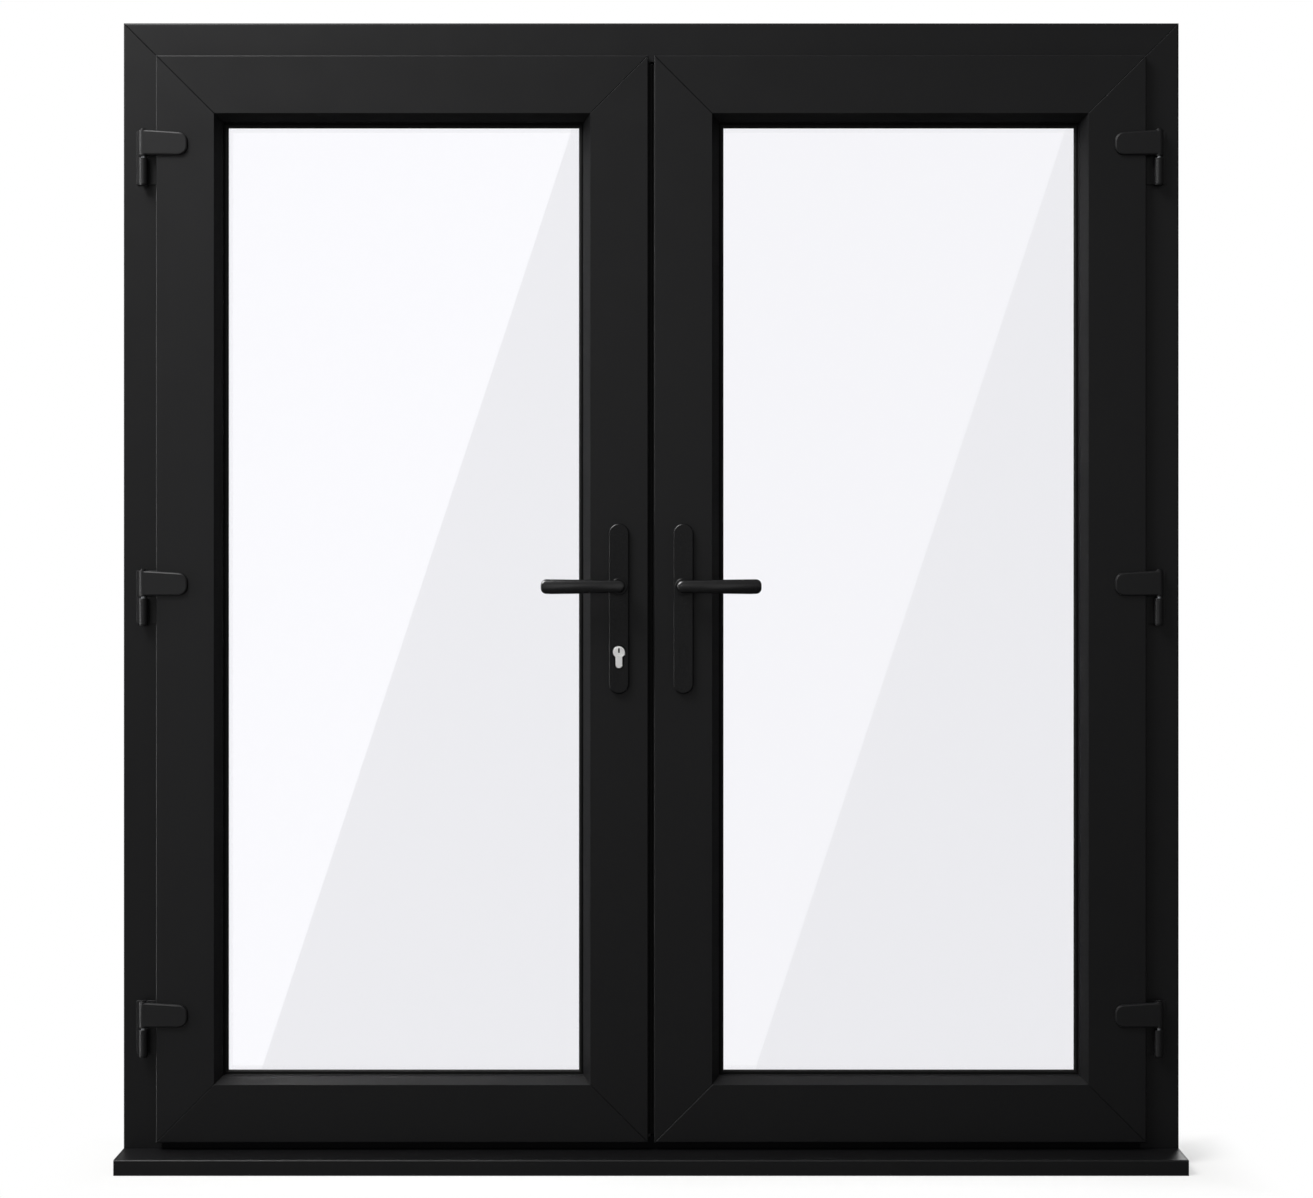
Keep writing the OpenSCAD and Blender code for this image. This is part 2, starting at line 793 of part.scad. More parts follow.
module left_top_rail() {
  color(foil) leaf_member(3);
}

module left_bottom_rail() {
  color(foil) leaf_member(2);
}

module right_hinge_stile() {
  on_right() left_hinge_stile();
}

module right_meeting_stile() {
  color(foil) on_right() difference() {
    leaf_member(1);
    gearbox_pocket();
    handle_holes(false);
  }
}

module right_top_rail() {
  on_right() left_top_rail();
}

module right_bottom_rail() {
  on_right() left_bottom_rail();
}

// Steel tubes in all four sides of a leaf, cut back from the mitres
module leaf_steel_tubes() {
  cut = rebate;
  a = [steel_in + let_in, flange_back + let_in];
  b = [steel_end - let_in, steel_back - let_in];
  for (side = [0 : 3]) intersection() {
    run(side, leaf_rect) tube_section(a, b, steel_t);
    if (side < 2) box3([-half_w, -mitre_deep, leaf_foot + cut], [half_w, mitre_deep, leaf_top - cut]);
    else box3([leaf_rect[0] + cut, -mitre_deep, 0], [leaf_rect[2] - cut, mitre_deep, frame_top]);
  }
}

module left_leaf_steels() {
  color(steel) difference() {
    leaf_steel_tubes();
    lock_pockets();
    handle_holes(true);
  }
}

module right_leaf_steels() {
  color(steel) on_right() difference() {
    leaf_steel_tubes();
    gearbox_pocket();
    handle_holes(false);
  }
}

// Sealed glass unit
module pane(y) {
  box3([leaf_rect[0] + pane_in, y, leaf_foot + pane_in],
       [leaf_rect[2] - pane_in, y + pane_t, leaf_top - pane_in]);
}

module left_outer_pane() {
  color(glass_tint, 0.3) pane(glass_front);
}

module left_inner_pane() {
  color(glass_tint, 0.3) pane(cavity_back);
}

module right_outer_pane() {
  on_right() left_outer_pane();
}

module right_inner_pane() {
  on_right() left_inner_pane();
}

module left_spacer_bar() {
  near = pane_in + spacer_set;
  far = near + spacer_w;
  color(steel) ring(leaf_rect, far + spacer_w)
    tube_section([near, cavity_front], [far, cavity_back], spacer_wall);
}

module right_spacer_bar() {
  on_right() left_spacer_bar();
}

// Beads that hold the unit from the inside, with a soft lip against the glass
module left_glazing_beads() {
  slope = 4;
  lip = 2;
  foot = unit_back + bead_gap;
  color(foil) ring(leaf_rect, sight + 2 * lip) polygon([
    [rebate, foot], [sight - 3 * lip, foot], [sight - 3 * lip, unit_back], [sight + lip, unit_back],
    [sight, foot], [sight, leaf_back - slope], [sight - slope, leaf_back], [rebate, leaf_back]]);
}

module right_glazing_beads() {
  on_right() left_glazing_beads();
}

// Outer gasket: a foot under the leg and a round lip that shows on the glass
module left_glazing_gasket() {
  r = gasket_show / 2;
  color(rubber) ring(leaf_rect, sight + 2 * gasket_show) polygon(concat(
    [[sight - 2 * gasket_t, glass_front], [sight - 2 * gasket_t, leg_back], [sight, leg_back]],
    arc([sight + r, glass_front], r, 225, 360)));
}

module right_glazing_gasket() {
  on_right() left_glazing_gasket();
}

// Blocks that carry the unit in its rebate
module left_setting_blocks() {
  inset = 60;
  y0 = glass_front;
  y1 = unit_back;
  x0 = leaf_rect[0];
  x1 = leaf_rect[2];
  color(nylon) {
    for (x = [x0 + pane_in + inset, x1 - pane_in - inset - block_l]) {
      box3([x, y0, leaf_foot + rebate], [x + block_l, y1, leaf_foot + pane_in]);
      box3([x, y0, leaf_top - pane_in], [x + block_l, y1, leaf_top - rebate]);
    }
    for (z = [leaf_foot + pane_in + inset, leaf_top - pane_in - inset - block_l]) {
      box3([x0 + rebate, y0, z], [x0 + pane_in, y1, z + block_l]);
      box3([x1 - pane_in, y0, z], [x1 - rebate, y1, z + block_l]);
    }
  }
}

module right_setting_blocks() {
  on_right() left_setting_blocks();
}

// Half the section of a plate of width 2 r with a rounded front edge
module half_section(r, t, edge) {
  intersection() {
    union() {
      square([r, t - edge]);
      square([r - edge, t]);
      translate([r - edge, t - edge]) circle(r = edge);
    }
    square([r, t]);
  }
}

// A plate with round ends and that section, standing up from z = 0
module pill(r, l, t, edge) {
  for (y = [r, l - r]) translate([0, y, 0]) rotate_extrude() half_section(r, t, edge);
  translate([0, l - r, 0]) rotate([90, 0, 0]) linear_extrude(l - 2 * r) union() {
    half_section(r, t, edge);
    mirror([1, 0]) half_section(r, t, edge);
  }
}

// Handle plate on the outside of the left leaf, a hollow casting with a collar round the lever
module plate_shell(with_cylinder) {
  r = plate_w / 2;
  boss = neck_d / 2 + plate_wall;
  core = plate_t - plate_wall;
  tap_r = screw_d / 3;
  y0 = plate_front - collar_h;
  difference() {
    union() {
      difference() {
        translate([handle_x, leaf_front, plate_foot]) rotate([90, 0, 0])
          pill(r, plate_l, plate_t, plate_edge);
        translate([handle_x, leaf_front + over, plate_foot + plate_wall]) rotate([90, 0, 0])
          pill(r - plate_wall, plate_l - 2 * plate_wall, core + over, core_edge);
      }
      rod_y(handle_x, spindle_z, boss, leaf_front - core - over, leaf_front);
      translate([handle_x, plate_front + over, spindle_z]) rotate([90, 0, 0]) rotate_extrude()
        half_section(collar_d / 2, collar_h + over, collar_edge);
      for (z = screw_z) rod_y(handle_x, z, screw_d, leaf_front - core - over, leaf_front);
      if (with_cylinder) span_y(leaf_front - core - over, leaf_front)
        euro_outline(plate_euro_gap + boss_wall);
    }
    rod_y(handle_x, spindle_z, neck_d / 2 + turn_fit, y0 - over, leaf_front + over);
    for (z = screw_z) rod_y(handle_x, z, tap_r, leaf_front - core, leaf_front + over);
    if (with_cylinder) span_y(y0, leaf_front + over) euro_outline(plate_euro_gap);
    else blank_groove();
  }
}

// Shallow outline of the blanked cylinder hole
module blank_groove() {
  margin = 1;
  groove_w = 1.2;
  groove_d = 0.8;
  w = cylinder_leg_w + 2 * margin;
  h = cylinder_h + 2 * margin;
  z = cylinder_foot - margin;
  module slot(g) {
    box2([handle_x - w / 2 + g, z + w / 2], [handle_x + w / 2 - g, z + h - w / 2]);
    for (c = [z + w / 2, z + h - w / 2]) translate([handle_x, c]) circle(r = w / 2 - g);
  }
  span_y(plate_front - over, plate_front + groove_d) difference() {
    slot(0);
    slot(groove_w);
  }
}

module left_outside_plate() {
  color(black_metal) plate_shell(true);
}

module left_inside_plate() {
  color(black_metal) on_inside() plate_shell(true);
}

module right_outside_plate() {
  color(black_metal) on_right() plate_shell(false);
}

module right_inside_plate() {
  color(black_metal) on_right() on_inside() plate_shell(false);
}

// Lever: a turned neck and a flat grip that widens towards its tip
module soft_disc(r, y) {
  translate([0, y, 0]) rotate([90, 0, 0]) rotate_extrude($fn = 32) {
    square([r - grip_edge, grip_t]);
    translate([0, grip_edge]) square([r, grip_t - 2 * grip_edge]);
    for (t = [grip_edge, grip_t - grip_edge])
      translate([r - grip_edge, t]) circle(r = grip_edge, $fn = 20);
  }
}

module lever() {
  tip_x = handle_x - lever_l + tip_r;
  tip_z = tip_h / 2 - tip_r;
  tip_set = grip_edge;
  socket = spindle_w / 2 + turn_fit;
  difference() {
    union() {
      hull() {
        translate([handle_x, 0, spindle_z]) soft_disc(grip_h / 2, grip_back);
        for (s = [-1, 1]) translate([tip_x, 0, spindle_z + s * tip_z])
          soft_disc(tip_r, grip_back + tip_set);
      }
      rod_y(handle_x, spindle_z, neck_d / 2, grip_back - grip_t / 2, leaf_front - neck_in);
    }
    box3([handle_x - socket, grip_back - grip_edge, spindle_z - socket],
         [handle_x + socket, leaf_front, spindle_z + socket]);
  }
}

module left_outside_lever() {
  color(black_metal) lever();
}

module left_inside_lever() {
  color(black_metal) on_inside() lever();
}

module right_outside_lever() {
  color(black_metal) on_right() lever();
}

module right_inside_lever() {
  color(black_metal) on_right() on_inside() lever();
}

// Square spindle with the follower that turns in the case
module spindle() {
  half = spindle_w / 2;
  y0 = grip_back - grip_edge + run_gap;
  y1 = 2 * leaf_mid - y0;
  box3([handle_x - half, y0, spindle_z - half], [handle_x + half, y1, spindle_z + half]);
  rod_y(handle_x, spindle_z, hub_r, leaf_mid - case_t / 2, leaf_mid + case_t / 2);
}

module left_spindle() {
  color(steel) spindle();
}

module right_spindle() {
  color(steel) on_right() spindle();
}

// A pressed case let into the edge of a leaf
module case_box(foot, top) {
  half = case_t / 2;
  w = case_wall;
  difference() {
    box3([edge_x - case_d, leaf_mid - half, foot], [edge_x, leaf_mid + half, top]);
    box3([edge_x - case_d + w, leaf_mid - half + w, foot + w],
         [edge_x + over, leaf_mid + half - w, top - w]);
  }
}

module hub_bore() {
  rod_y(handle_x, spindle_z, hub_r + turn_fit, leaf_front, leaf_back);
}

module lock_case() {
  color(steel) {
    difference() {
      case_box(case_foot, case_top);
      hub_bore();
      span_y(leaf_front, leaf_back) euro_outline(euro_gap);
    }
    for (s = [-1, 1]) {
      z = bolt_z + s * bolt_pitch;
      case_box(z - side_case_h / 2, z + side_case_h / 2);
    }
  }
}

// Heights of the three bolts
bolt_heights = [bolt_z - bolt_pitch, bolt_z, bolt_z + bolt_pitch];

module bolt_windows(x0, x1, g) {
  half = bolt_t / 2 + g;
  for (z = bolt_heights)
    box3([x0, leaf_mid - half, z - bolt_h / 2 - g], [x1, leaf_mid + half, z + bolt_h / 2 + g]);
}

module latch_window(x0, x1, g) {
  half = bolt_t / 2 + g;
  box3([x0, leaf_mid - half, latch_z - latch_h / 2 - g],
       [x1, leaf_mid + half, latch_z + latch_h / 2 + g]);
}

module lock_faceplate() {
  half = faceplate_w / 2;
  color(steel) difference() {
    box3([edge_x, leaf_mid - half, leaf_foot + faceplate_in],
         [face_x, leaf_mid + half, leaf_top - faceplate_in]);
    bolt_windows(edge_x - over, face_x + over, run_gap);
    latch_window(edge_x - over, face_x + over, run_gap);
  }
}

// Lock cylinder with a bore for its plug and a gap in which the cam turns
module lock_cylinder() {
  cam_half = cam_w / 2 + run_gap;
  color(steel) difference() {
    span_y(cylinder_front, 2 * leaf_mid - cylinder_front) euro_outline(0);
    rod_y(handle_x, cylinder_z, plug_d / 2 + turn_fit, cylinder_front - over,
          2 * leaf_mid - cylinder_front + over);
    box3([handle_x - cylinder_d, leaf_mid - cam_half, cylinder_z - cam_r - run_gap],
         [handle_x + cylinder_d, leaf_mid + cam_half, cylinder_z + cylinder_d]);
  }
}

module cylinder_plug() {
  half = keyway_w / 2;
  depth = 20;
  key_wall = 0.8;
  y1 = 2 * leaf_mid - cylinder_front;
  cam_half = cam_w / 2;
  lobe = cylinder_leg_w / 2 - run_gap;
  color(steel) difference() {
    union() {
      rod_y(handle_x, cylinder_z, plug_d / 2, cylinder_front, y1);
      span_y(leaf_mid - cam_half, leaf_mid + cam_half) union() {
        translate([handle_x, cylinder_z]) circle(r = cylinder_d / 2 - run_gap);
        box2([handle_x - lobe, cylinder_z - cam_r + lobe], [handle_x + lobe, cylinder_z]);
        translate([handle_x, cylinder_z - cam_r + lobe]) circle(r = lobe);
      }
    }
    for (y = [cylinder_front - over, y1 - depth])
      box3([handle_x - half, y, cylinder_z - half],
           [handle_x + half, y + depth + over, cylinder_z + plug_d / 2 - key_wall]);
  }
}

// Spring latch with a bevelled nose
module latch_bolt() {
  half = bolt_t / 2;
  tail = edge_x - case_d / 2;
  nose = face_x + latch_out;
  color(steel) translate([0, leaf_mid, latch_z - latch_h / 2]) linear_extrude(latch_h)
    polygon([[tail, -half], [nose, -half], [nose, -half / 2], [face_x + run_gap, half], [tail, half]]);
}

// Three bolts that the key throws
module lock_bolts() {
  color(steel) bolt_windows(edge_x - bolt_throw - case_margin, face_x - run_gap, 0);
}

// Flap on the left leaf that closes the slot between the leaves
module meeting_seal() {
  tip = mullion_past;
  root = 4;
  y0 = flange_back;
  y1 = mullion_front - 2 * run_gap;
  blade = 2;
  color(rubber) translate([0, 0, mullion_foot]) linear_extrude(mullion_top - mullion_foot) union() {
    box2([edge_x, y0], [edge_x + root, y1]);
    box2([edge_x + root, y1 - blade], [tip, y1]);
    translate([tip, y1 - blade / 2]) circle(d = blade);
  }
}

// Mullion on the edge of the right leaf: a hollow section that takes the keeps and the shootbolts
module mullion_section() {
  w = mullion_wall;
  chamber = leaf_mid + shootbolt_d;
  difference() {
    box2([mullion_x0, mullion_front], [mullion_x1, leaf_back]);
    box2([mullion_x0 + w, mullion_front + w], [mullion_x1 - w - keep_t, chamber]);
    box2([mullion_x0 + w, chamber + w], [mullion_x1 - w, leaf_back - w]);
  }
}

// Keeps let into the mullion, or with g the pockets for them
module keep_plates(g) {
  x0 = mullion_x1 - keep_t - g;
  x1 = mullion_x1 + (g > 0 ? over : 0);
  half = bolt_t / 2 + keep_side + g;
  bolt_half = bolt_h / 2 + keep_end + g;
  latch_half = latch_h / 2 + latch_keep_end + g;
  for (z = bolt_heights)
    box3([x0, leaf_mid - half, z - bolt_half], [x1, leaf_mid + half, z + bolt_half]);
  box3([x0, leaf_mid - half, latch_z - latch_half], [x1, leaf_mid + half, latch_z + latch_half]);
}

// Slots through which the shootbolt lugs reach the gearbox
module lug_slots() {
  half = lug_t / 2 + run_gap;
  reach = lug_h / 2 + shootbolt_throw + run_gap;
  for (s = [-1, 1])
    box3([edge_x - over, leaf_mid - half, spindle_z + s * lug_z - reach],
         [mullion_x0 + mullion_wall + over, leaf_mid + half, spindle_z + s * lug_z + reach]);
}

module floating_mullion() {
  color(foil) on_right() difference() {
    translate([0, 0, mullion_foot]) linear_extrude(mullion_top - mullion_foot) mullion_section();
    keep_plates(let_in / 2);
    bolt_windows(mullion_x0 + mullion_wall + over, mullion_x1 + over, 2 * run_gap);
    lug_slots();
  }
}

module lock_keeps() {
  color(steel) on_right() difference() {
    keep_plates(0);
    bolt_windows(mullion_x0, mullion_x1 + over, 2 * run_gap);
    latch_window(mullion_x1 - latch_pocket, mullion_x1 + over, 2 * run_gap);
  }
}

module shootbolt_gearbox() {
  color(steel) on_right() difference() {
    case_box(spindle_z - gearbox_half, spindle_z + gearbox_half);
    hub_bore();
  }
}

// Round bolt in the mullion with a lug that the gearbox drives, above or below the spindle
module shootbolt(s, end) {
  start = spindle_z + s * lug_z;
  half = lug_t / 2;
  translate([shootbolt_x, leaf_mid, min(start, end)]) cylinder(h = abs(end - start), d = shootbolt_d);
  box3([edge_x - lug_in, leaf_mid - half, start - lug_h / 2],
       [shootbolt_x + half, leaf_mid + half, start + lug_h / 2]);
}

module top_shootbolt() {
  color(steel) on_right() shootbolt(1, mullion_top - shootbolt_set);
}

module bottom_shootbolt() {
  color(steel) on_right() shootbolt(-1, mullion_foot + shootbolt_set);
}

cill();
cill_end_caps();
frame_head();
frame_left_jamb();
frame_right_jamb();
threshold();
frame_steels();
frame_seal();
left_hinge_barrels();
right_hinge_barrels();
hinge_pins();
shootbolt_keeps();
left_hinge_stile();
left_meeting_stile();
left_top_rail();
left_bottom_rail();
left_leaf_steels();
left_outer_pane();
left_inner_pane();
left_spacer_bar();
left_glazing_beads();
left_glazing_gasket();
left_setting_blocks();
left_hinge_flags();
left_hinge_bushes();
left_outside_plate();
left_inside_plate();
lock_faceplate();
lock_case();
lock_cylinder();
meeting_seal();
left_outside_lever();
left_inside_lever();
left_spindle();
latch_bolt();
cylinder_plug();
lock_bolts();
right_hinge_stile();
right_meeting_stile();
right_top_rail();
right_bottom_rail();
right_leaf_steels();
right_outer_pane();
right_inner_pane();
right_spacer_bar();
right_glazing_beads();
right_glazing_gasket();
right_setting_blocks();
right_hinge_flags();
right_hinge_bushes();
right_outside_plate();
right_inside_plate();
floating_mullion();
lock_keeps();
shootbolt_gearbox();
right_outside_lever();
right_inside_lever();
right_spindle();
top_shootbolt();
bottom_shootbolt();
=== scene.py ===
# %% [markdown]
# # French doors in a studio
# These are black french doors in a frame of welded plastic sections, standing on a cill.
# Every rigid piece already exists as an exact solid, so this lesson only dresses them: it gives
# each piece its finish, softens its edges, adds the small fixings and sets up camera and light.
# The frame is loaded first, and its box is kept for the floor round it.

# %% Load the solids
import json
import math
import bpy
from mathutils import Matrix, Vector


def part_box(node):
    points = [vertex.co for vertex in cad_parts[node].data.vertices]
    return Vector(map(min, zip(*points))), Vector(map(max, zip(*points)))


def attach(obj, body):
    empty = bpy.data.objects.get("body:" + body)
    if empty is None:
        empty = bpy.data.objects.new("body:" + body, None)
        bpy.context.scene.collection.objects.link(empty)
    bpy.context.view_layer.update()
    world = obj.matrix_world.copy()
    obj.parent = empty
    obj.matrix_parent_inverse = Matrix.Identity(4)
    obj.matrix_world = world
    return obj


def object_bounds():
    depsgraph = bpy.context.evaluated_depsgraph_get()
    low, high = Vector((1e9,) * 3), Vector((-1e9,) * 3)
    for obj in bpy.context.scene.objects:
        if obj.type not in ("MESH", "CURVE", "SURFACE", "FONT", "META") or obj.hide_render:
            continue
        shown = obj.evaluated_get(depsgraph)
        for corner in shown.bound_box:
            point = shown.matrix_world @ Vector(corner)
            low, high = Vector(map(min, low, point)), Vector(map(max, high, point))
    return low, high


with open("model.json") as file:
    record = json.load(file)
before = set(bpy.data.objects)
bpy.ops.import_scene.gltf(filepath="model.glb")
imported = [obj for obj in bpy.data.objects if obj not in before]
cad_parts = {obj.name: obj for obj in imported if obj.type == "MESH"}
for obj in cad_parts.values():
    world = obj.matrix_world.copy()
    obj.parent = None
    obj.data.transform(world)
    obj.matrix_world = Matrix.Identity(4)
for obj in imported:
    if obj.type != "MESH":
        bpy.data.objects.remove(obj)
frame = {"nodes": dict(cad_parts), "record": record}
cad_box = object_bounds()
MM = 0.001
cad_size = [round(v, 4) for v in cad_box[1] - cad_box[0]]
print("solids:", len(frame["nodes"]), "box in metres:", cad_size)

# %% [markdown]
# The camera stands straight in front of the doors, at half their height, and isn't tilted,
# because tilting would make the jambs lean. Its distance is known from how much the bevels
# beside the glass widen towards the sides, and the lens follows from distance and size.

# %% Camera
PICTURE_W = 1313
FOCAL_PX = 2359
SENSOR = 36
EYE = Vector((9.5 * MM, -4246 * MM, 1019 * MM))
LEVEL = (math.radians(90), 0, 0)
FARTHEST = 100

camera_data = bpy.data.cameras.new("camera")
camera_data.sensor_width = SENSOR
camera_data.lens = FOCAL_PX / PICTURE_W * SENSOR
camera_data.clip_end = FARTHEST
camera = bpy.data.objects.new("camera", camera_data)
camera.location = EYE
camera.rotation_euler = LEVEL
bpy.context.scene.collection.objects.link(camera)
bpy.context.scene.camera = camera
bpy.context.scene.view_settings.view_transform = "Standard"
print("lens:", round(camera_data.lens, 1), "mm, eye at", [round(v, 3) for v in EYE])

# %% [markdown]
# Colours are written as the sRGB hex values that one would pick from a picture.
# Blender's shaders work with linear light, so one function converts them.
# A second small function adds a node, sets its values and links its inputs: a value that is
# a socket becomes a link, and anything else is set on the input itself. An input is called by
# its name, with _ for a space, or by its place as i0, i1 and so on where several share a name.


# %% Helpers for colours and nodes
def linear(hex_code):
    parts = [int(hex_code[i:i + 2], 16) / 255 for i in (1, 3, 5)]
    # The sRGB curve is straight near black and a power curve above.
    return [c / 12.92 if c <= 0.04045 else ((c + 0.055) / 1.055) ** 2.4 for c in parts] + [1.0]


def add(tree, kind, settings=None, **inputs):
    node = tree.nodes.new(kind)
    for name, value in (settings or {}).items():
        setattr(node, name, value)
    for name, value in inputs.items():
        by_place = name[0] == "i" and name[1:].isdigit()
        key = int(name[1:]) if by_place else name.replace("_", " ")
        if isinstance(value, bpy.types.NodeSocket):
            tree.links.new(value, node.inputs[key])
        else:
            node.inputs[key].default_value = value
    return node


FOIL_BLACK = "#0d0d0e"
WHITE = (1, 1, 1, 1)
print("black foil in linear light:", [round(v, 4) for v in linear(FOIL_BLACK)])

# %% [markdown]
# World, floor and cards don't look the same to every ray, so two tests are needed. Whether a ray
# was reflected before is its glossy depth: one or more after a mirror bounce. A ray is unreflected
# when it comes from the camera, or through the glass, without any such bounce.

# %% Tests on rays
# Halfway between no bounce and one.
BOUNCE_LIMIT = 0.5


def mirrored(tree, path):
    test = add(tree, "ShaderNodeMath", {"operation": "GREATER_THAN"}, i0=path["Glossy Depth"],
               i1=BOUNCE_LIMIT)
    return test.outputs[0]


def unreflected(tree, path):
    straight = add(tree, "ShaderNodeMath", {"operation": "MAXIMUM"}, i0=path["Is Camera Ray"],
                   i1=path["Is Transmission Ray"])
    first = add(tree, "ShaderNodeMath", {"operation": "SUBTRACT"}, i0=1.0, i1=mirrored(tree, path))
    test = add(tree, "ShaderNodeMath", {"operation": "MULTIPLY"}, i0=straight.outputs[0],
               i1=first.outputs[0])
    return test.outputs[0]


# %% [markdown]
# The background is plain white, so the world is white for the camera and for what is seen
# through the glass. Black satin surfaces show mostly what they reflect. In a studio that is a
# room that is bright up on the left and dark down on the right, so reflected rays see such a
# room: from one end of that slant to the other its brightness grows by a constant factor, up to
# a limit. At its bright end is a window, which only the grooves and round edges that face up to
# the left can mirror towards the camera.

# %% World
BRIGHT_SIDE = Vector((-1, 0, 1)).normalized()
ROOM_FRONT = 0.19
ROOM_GROWTH = 7.5
ROOM_MOST = 0.30
# Rim and middle of the window are cosines of the angle from the bright side.
WINDOW_RIM = 0.86
WINDOW_MIDDLE = 0.96
WINDOW_LIGHT = 7.0
AMBIENT = 0.30

world = bpy.data.worlds.new("white studio")
bpy.context.scene.world = world
world.use_nodes = True
tree = world.node_tree
tree.nodes.clear()
direction = add(tree, "ShaderNodeTexCoord").outputs["Generated"]
facing = add(tree, "ShaderNodeVectorMath", {"operation": "DOT_PRODUCT"}, i0=direction,
             i1=BRIGHT_SIDE).outputs["Value"]
growth = add(tree, "ShaderNodeMath", {"operation": "POWER"}, i0=ROOM_GROWTH, i1=facing)
graded = add(tree, "ShaderNodeMath", {"operation": "MULTIPLY"}, i0=growth.outputs[0], i1=ROOM_FRONT)
walls = add(tree, "ShaderNodeMath", {"operation": "MINIMUM"}, i0=graded.outputs[0], i1=ROOM_MOST)
window = add(tree, "ShaderNodeMapRange", {"interpolation_type": "SMOOTHSTEP"}, Value=facing,
             From_Min=WINDOW_RIM, From_Max=WINDOW_MIDDLE, To_Min=0.0, To_Max=WINDOW_LIGHT)
room = add(tree, "ShaderNodeMath", {"operation": "ADD"}, i0=walls.outputs[0], i1=window.outputs[0])
path = add(tree, "ShaderNodeLightPath").outputs
lit = add(tree, "ShaderNodeMix", {"data_type": "FLOAT"}, i0=mirrored(tree, path), i2=AMBIENT,
          i3=room.outputs[0])
strength = add(tree, "ShaderNodeMix", {"data_type": "FLOAT"}, i0=unreflected(tree, path),
               i2=lit.outputs[0], i3=1.0)
background = add(tree, "ShaderNodeBackground", None, Color=WHITE, Strength=strength.outputs[0])
add(tree, "ShaderNodeOutputWorld", None, Surface=background.outputs[0])
print("world: white for the eye, ambient", AMBIENT)

# %% [markdown]
# One large soft lamp stands up on the left, in front, as the shadows beside the handles show.
# A tall narrow one stands close beside the left jamb and nearly in the plane of the doors. It
# draws the bright line on the rounded upright edges of leaves, hinges and handles. A weak lamp
# from the right opens the darkest corners, and one behind the doors lights their inside. Light
# linking keeps the strip on those edges and the lamp behind off glass and floor, as a
# photographer would do with black flags.


# %% Lamps
def area_lamp(name, place, aim, width, height, watts):
    data = bpy.data.lights.new(name, "AREA")
    data.shape = "RECTANGLE"
    data.size = width
    data.size_y = height
    data.energy = watts
    lamp = bpy.data.objects.new(name, data)
    lamp.location = place
    lamp.rotation_euler = (Vector(aim) - Vector(place)).to_track_quat("-Z", "Y").to_euler()
    lamp.visible_camera = False
    bpy.context.scene.collection.objects.link(lamp)
    return lamp


def light_only(lamp, names):
    lit_pieces = bpy.data.collections.new("lit by " + lamp.name)
    for name in names:
        lit_pieces.objects.link(frame["nodes"][name])
    lamp.light_linking.receiver_collection = lit_pieces


area_lamp("key_lamp", place=(-2.7, -2.6, 5.2), aim=(0, 0, 1.1), width=2.6, height=2.6, watts=365)
strip = area_lamp("strip_lamp", place=(-1.6, -0.16, 1.1), aim=(0, -0.05, 1.1), width=0.12,
                  height=2.4, watts=12)
area_lamp("fill_lamp", place=(3.5, -4.0, 2.0), aim=(0, 0, 1.0), width=3.0, height=3.0, watts=6)
back = area_lamp("back_lamp", place=(1.8, 5.0, 2.8), aim=(0, 0, 1.1), width=3.0, height=3.0,
                 watts=110)
EDGE_LIT = ("_barrels", "_flags", "_plate", "_lever", "left_hinge_stile", "right_meeting_stile")
light_only(strip, [name for name in frame["nodes"] if name.endswith(EDGE_LIT)])
light_only(back, [name for name in frame["nodes"] if not name.endswith("_pane")])

# %% [markdown]
# The doors stand on a pale floor that fades into the white background. Mirrored rays never meet
# it, so that everything reflected comes from the room alone.

# %% Floor
FLOOR_HALF = 6.0

mesh = bpy.data.meshes.new("floor")
corners = [(-FLOOR_HALF, -FLOOR_HALF, 0), (FLOOR_HALF, -FLOOR_HALF, 0),
           (FLOOR_HALF, FLOOR_HALF, 0), (-FLOOR_HALF, FLOOR_HALF, 0)]
mesh.from_pydata(corners, [], [(0, 1, 2, 3)])
floor = bpy.data.objects.new("floor", mesh)
bpy.context.scene.collection.objects.link(floor)
floor.visible_glossy = False
print("floor:", 2 * FLOOR_HALF, "m square")

# %% [markdown]
# The floor is matt white paper. Near the cill it is partly an ordinary matt surface, which takes
# the soft shadow. Further off it turns into plain white light for the camera, so no horizon
# shows, also not through the glass. The distance is measured from the box round the doors. The
# paper is clear for rays that were mirrored and then went on through a pane.

# %% Floor paper
SHADOW_NEAR = 0.0
SHADOW_FAR = 0.16
SHADOW_SHARE = 0.40

paper = bpy.data.materials.new("matt white studio paper")
paper.use_nodes = True
tree = paper.node_tree
tree.nodes.clear()
ground = add(tree, "ShaderNodeTexCoord").outputs["Object"]
spot = add(tree, "ShaderNodeSeparateXYZ", None, Vector=ground).outputs
sideways = add(tree, "ShaderNodeMath", {"operation": "ABSOLUTE"}, i0=spot["X"])
beside = add(tree, "ShaderNodeMath", {"operation": "SUBTRACT"}, i0=sideways.outputs[0],
             i1=cad_box[1].x)
before = add(tree, "ShaderNodeMath", {"operation": "SUBTRACT"}, i0=cad_box[0].y, i1=spot["Y"])
behind = add(tree, "ShaderNodeMath", {"operation": "SUBTRACT"}, i0=spot["Y"], i1=cad_box[1].y)
depth = add(tree, "ShaderNodeMath", {"operation": "MAXIMUM"}, i0=before.outputs[0],
            i1=behind.outputs[0])
away = add(tree, "ShaderNodeMath", {"operation": "MAXIMUM"}, i0=beside.outputs[0],
           i1=depth.outputs[0])
share = add(tree, "ShaderNodeMapRange", {"interpolation_type": "SMOOTHSTEP"},
            Value=away.outputs[0], From_Min=SHADOW_NEAR, From_Max=SHADOW_FAR,
            To_Min=1.0 - SHADOW_SHARE, To_Max=1.0)
path = add(tree, "ShaderNodeLightPath").outputs
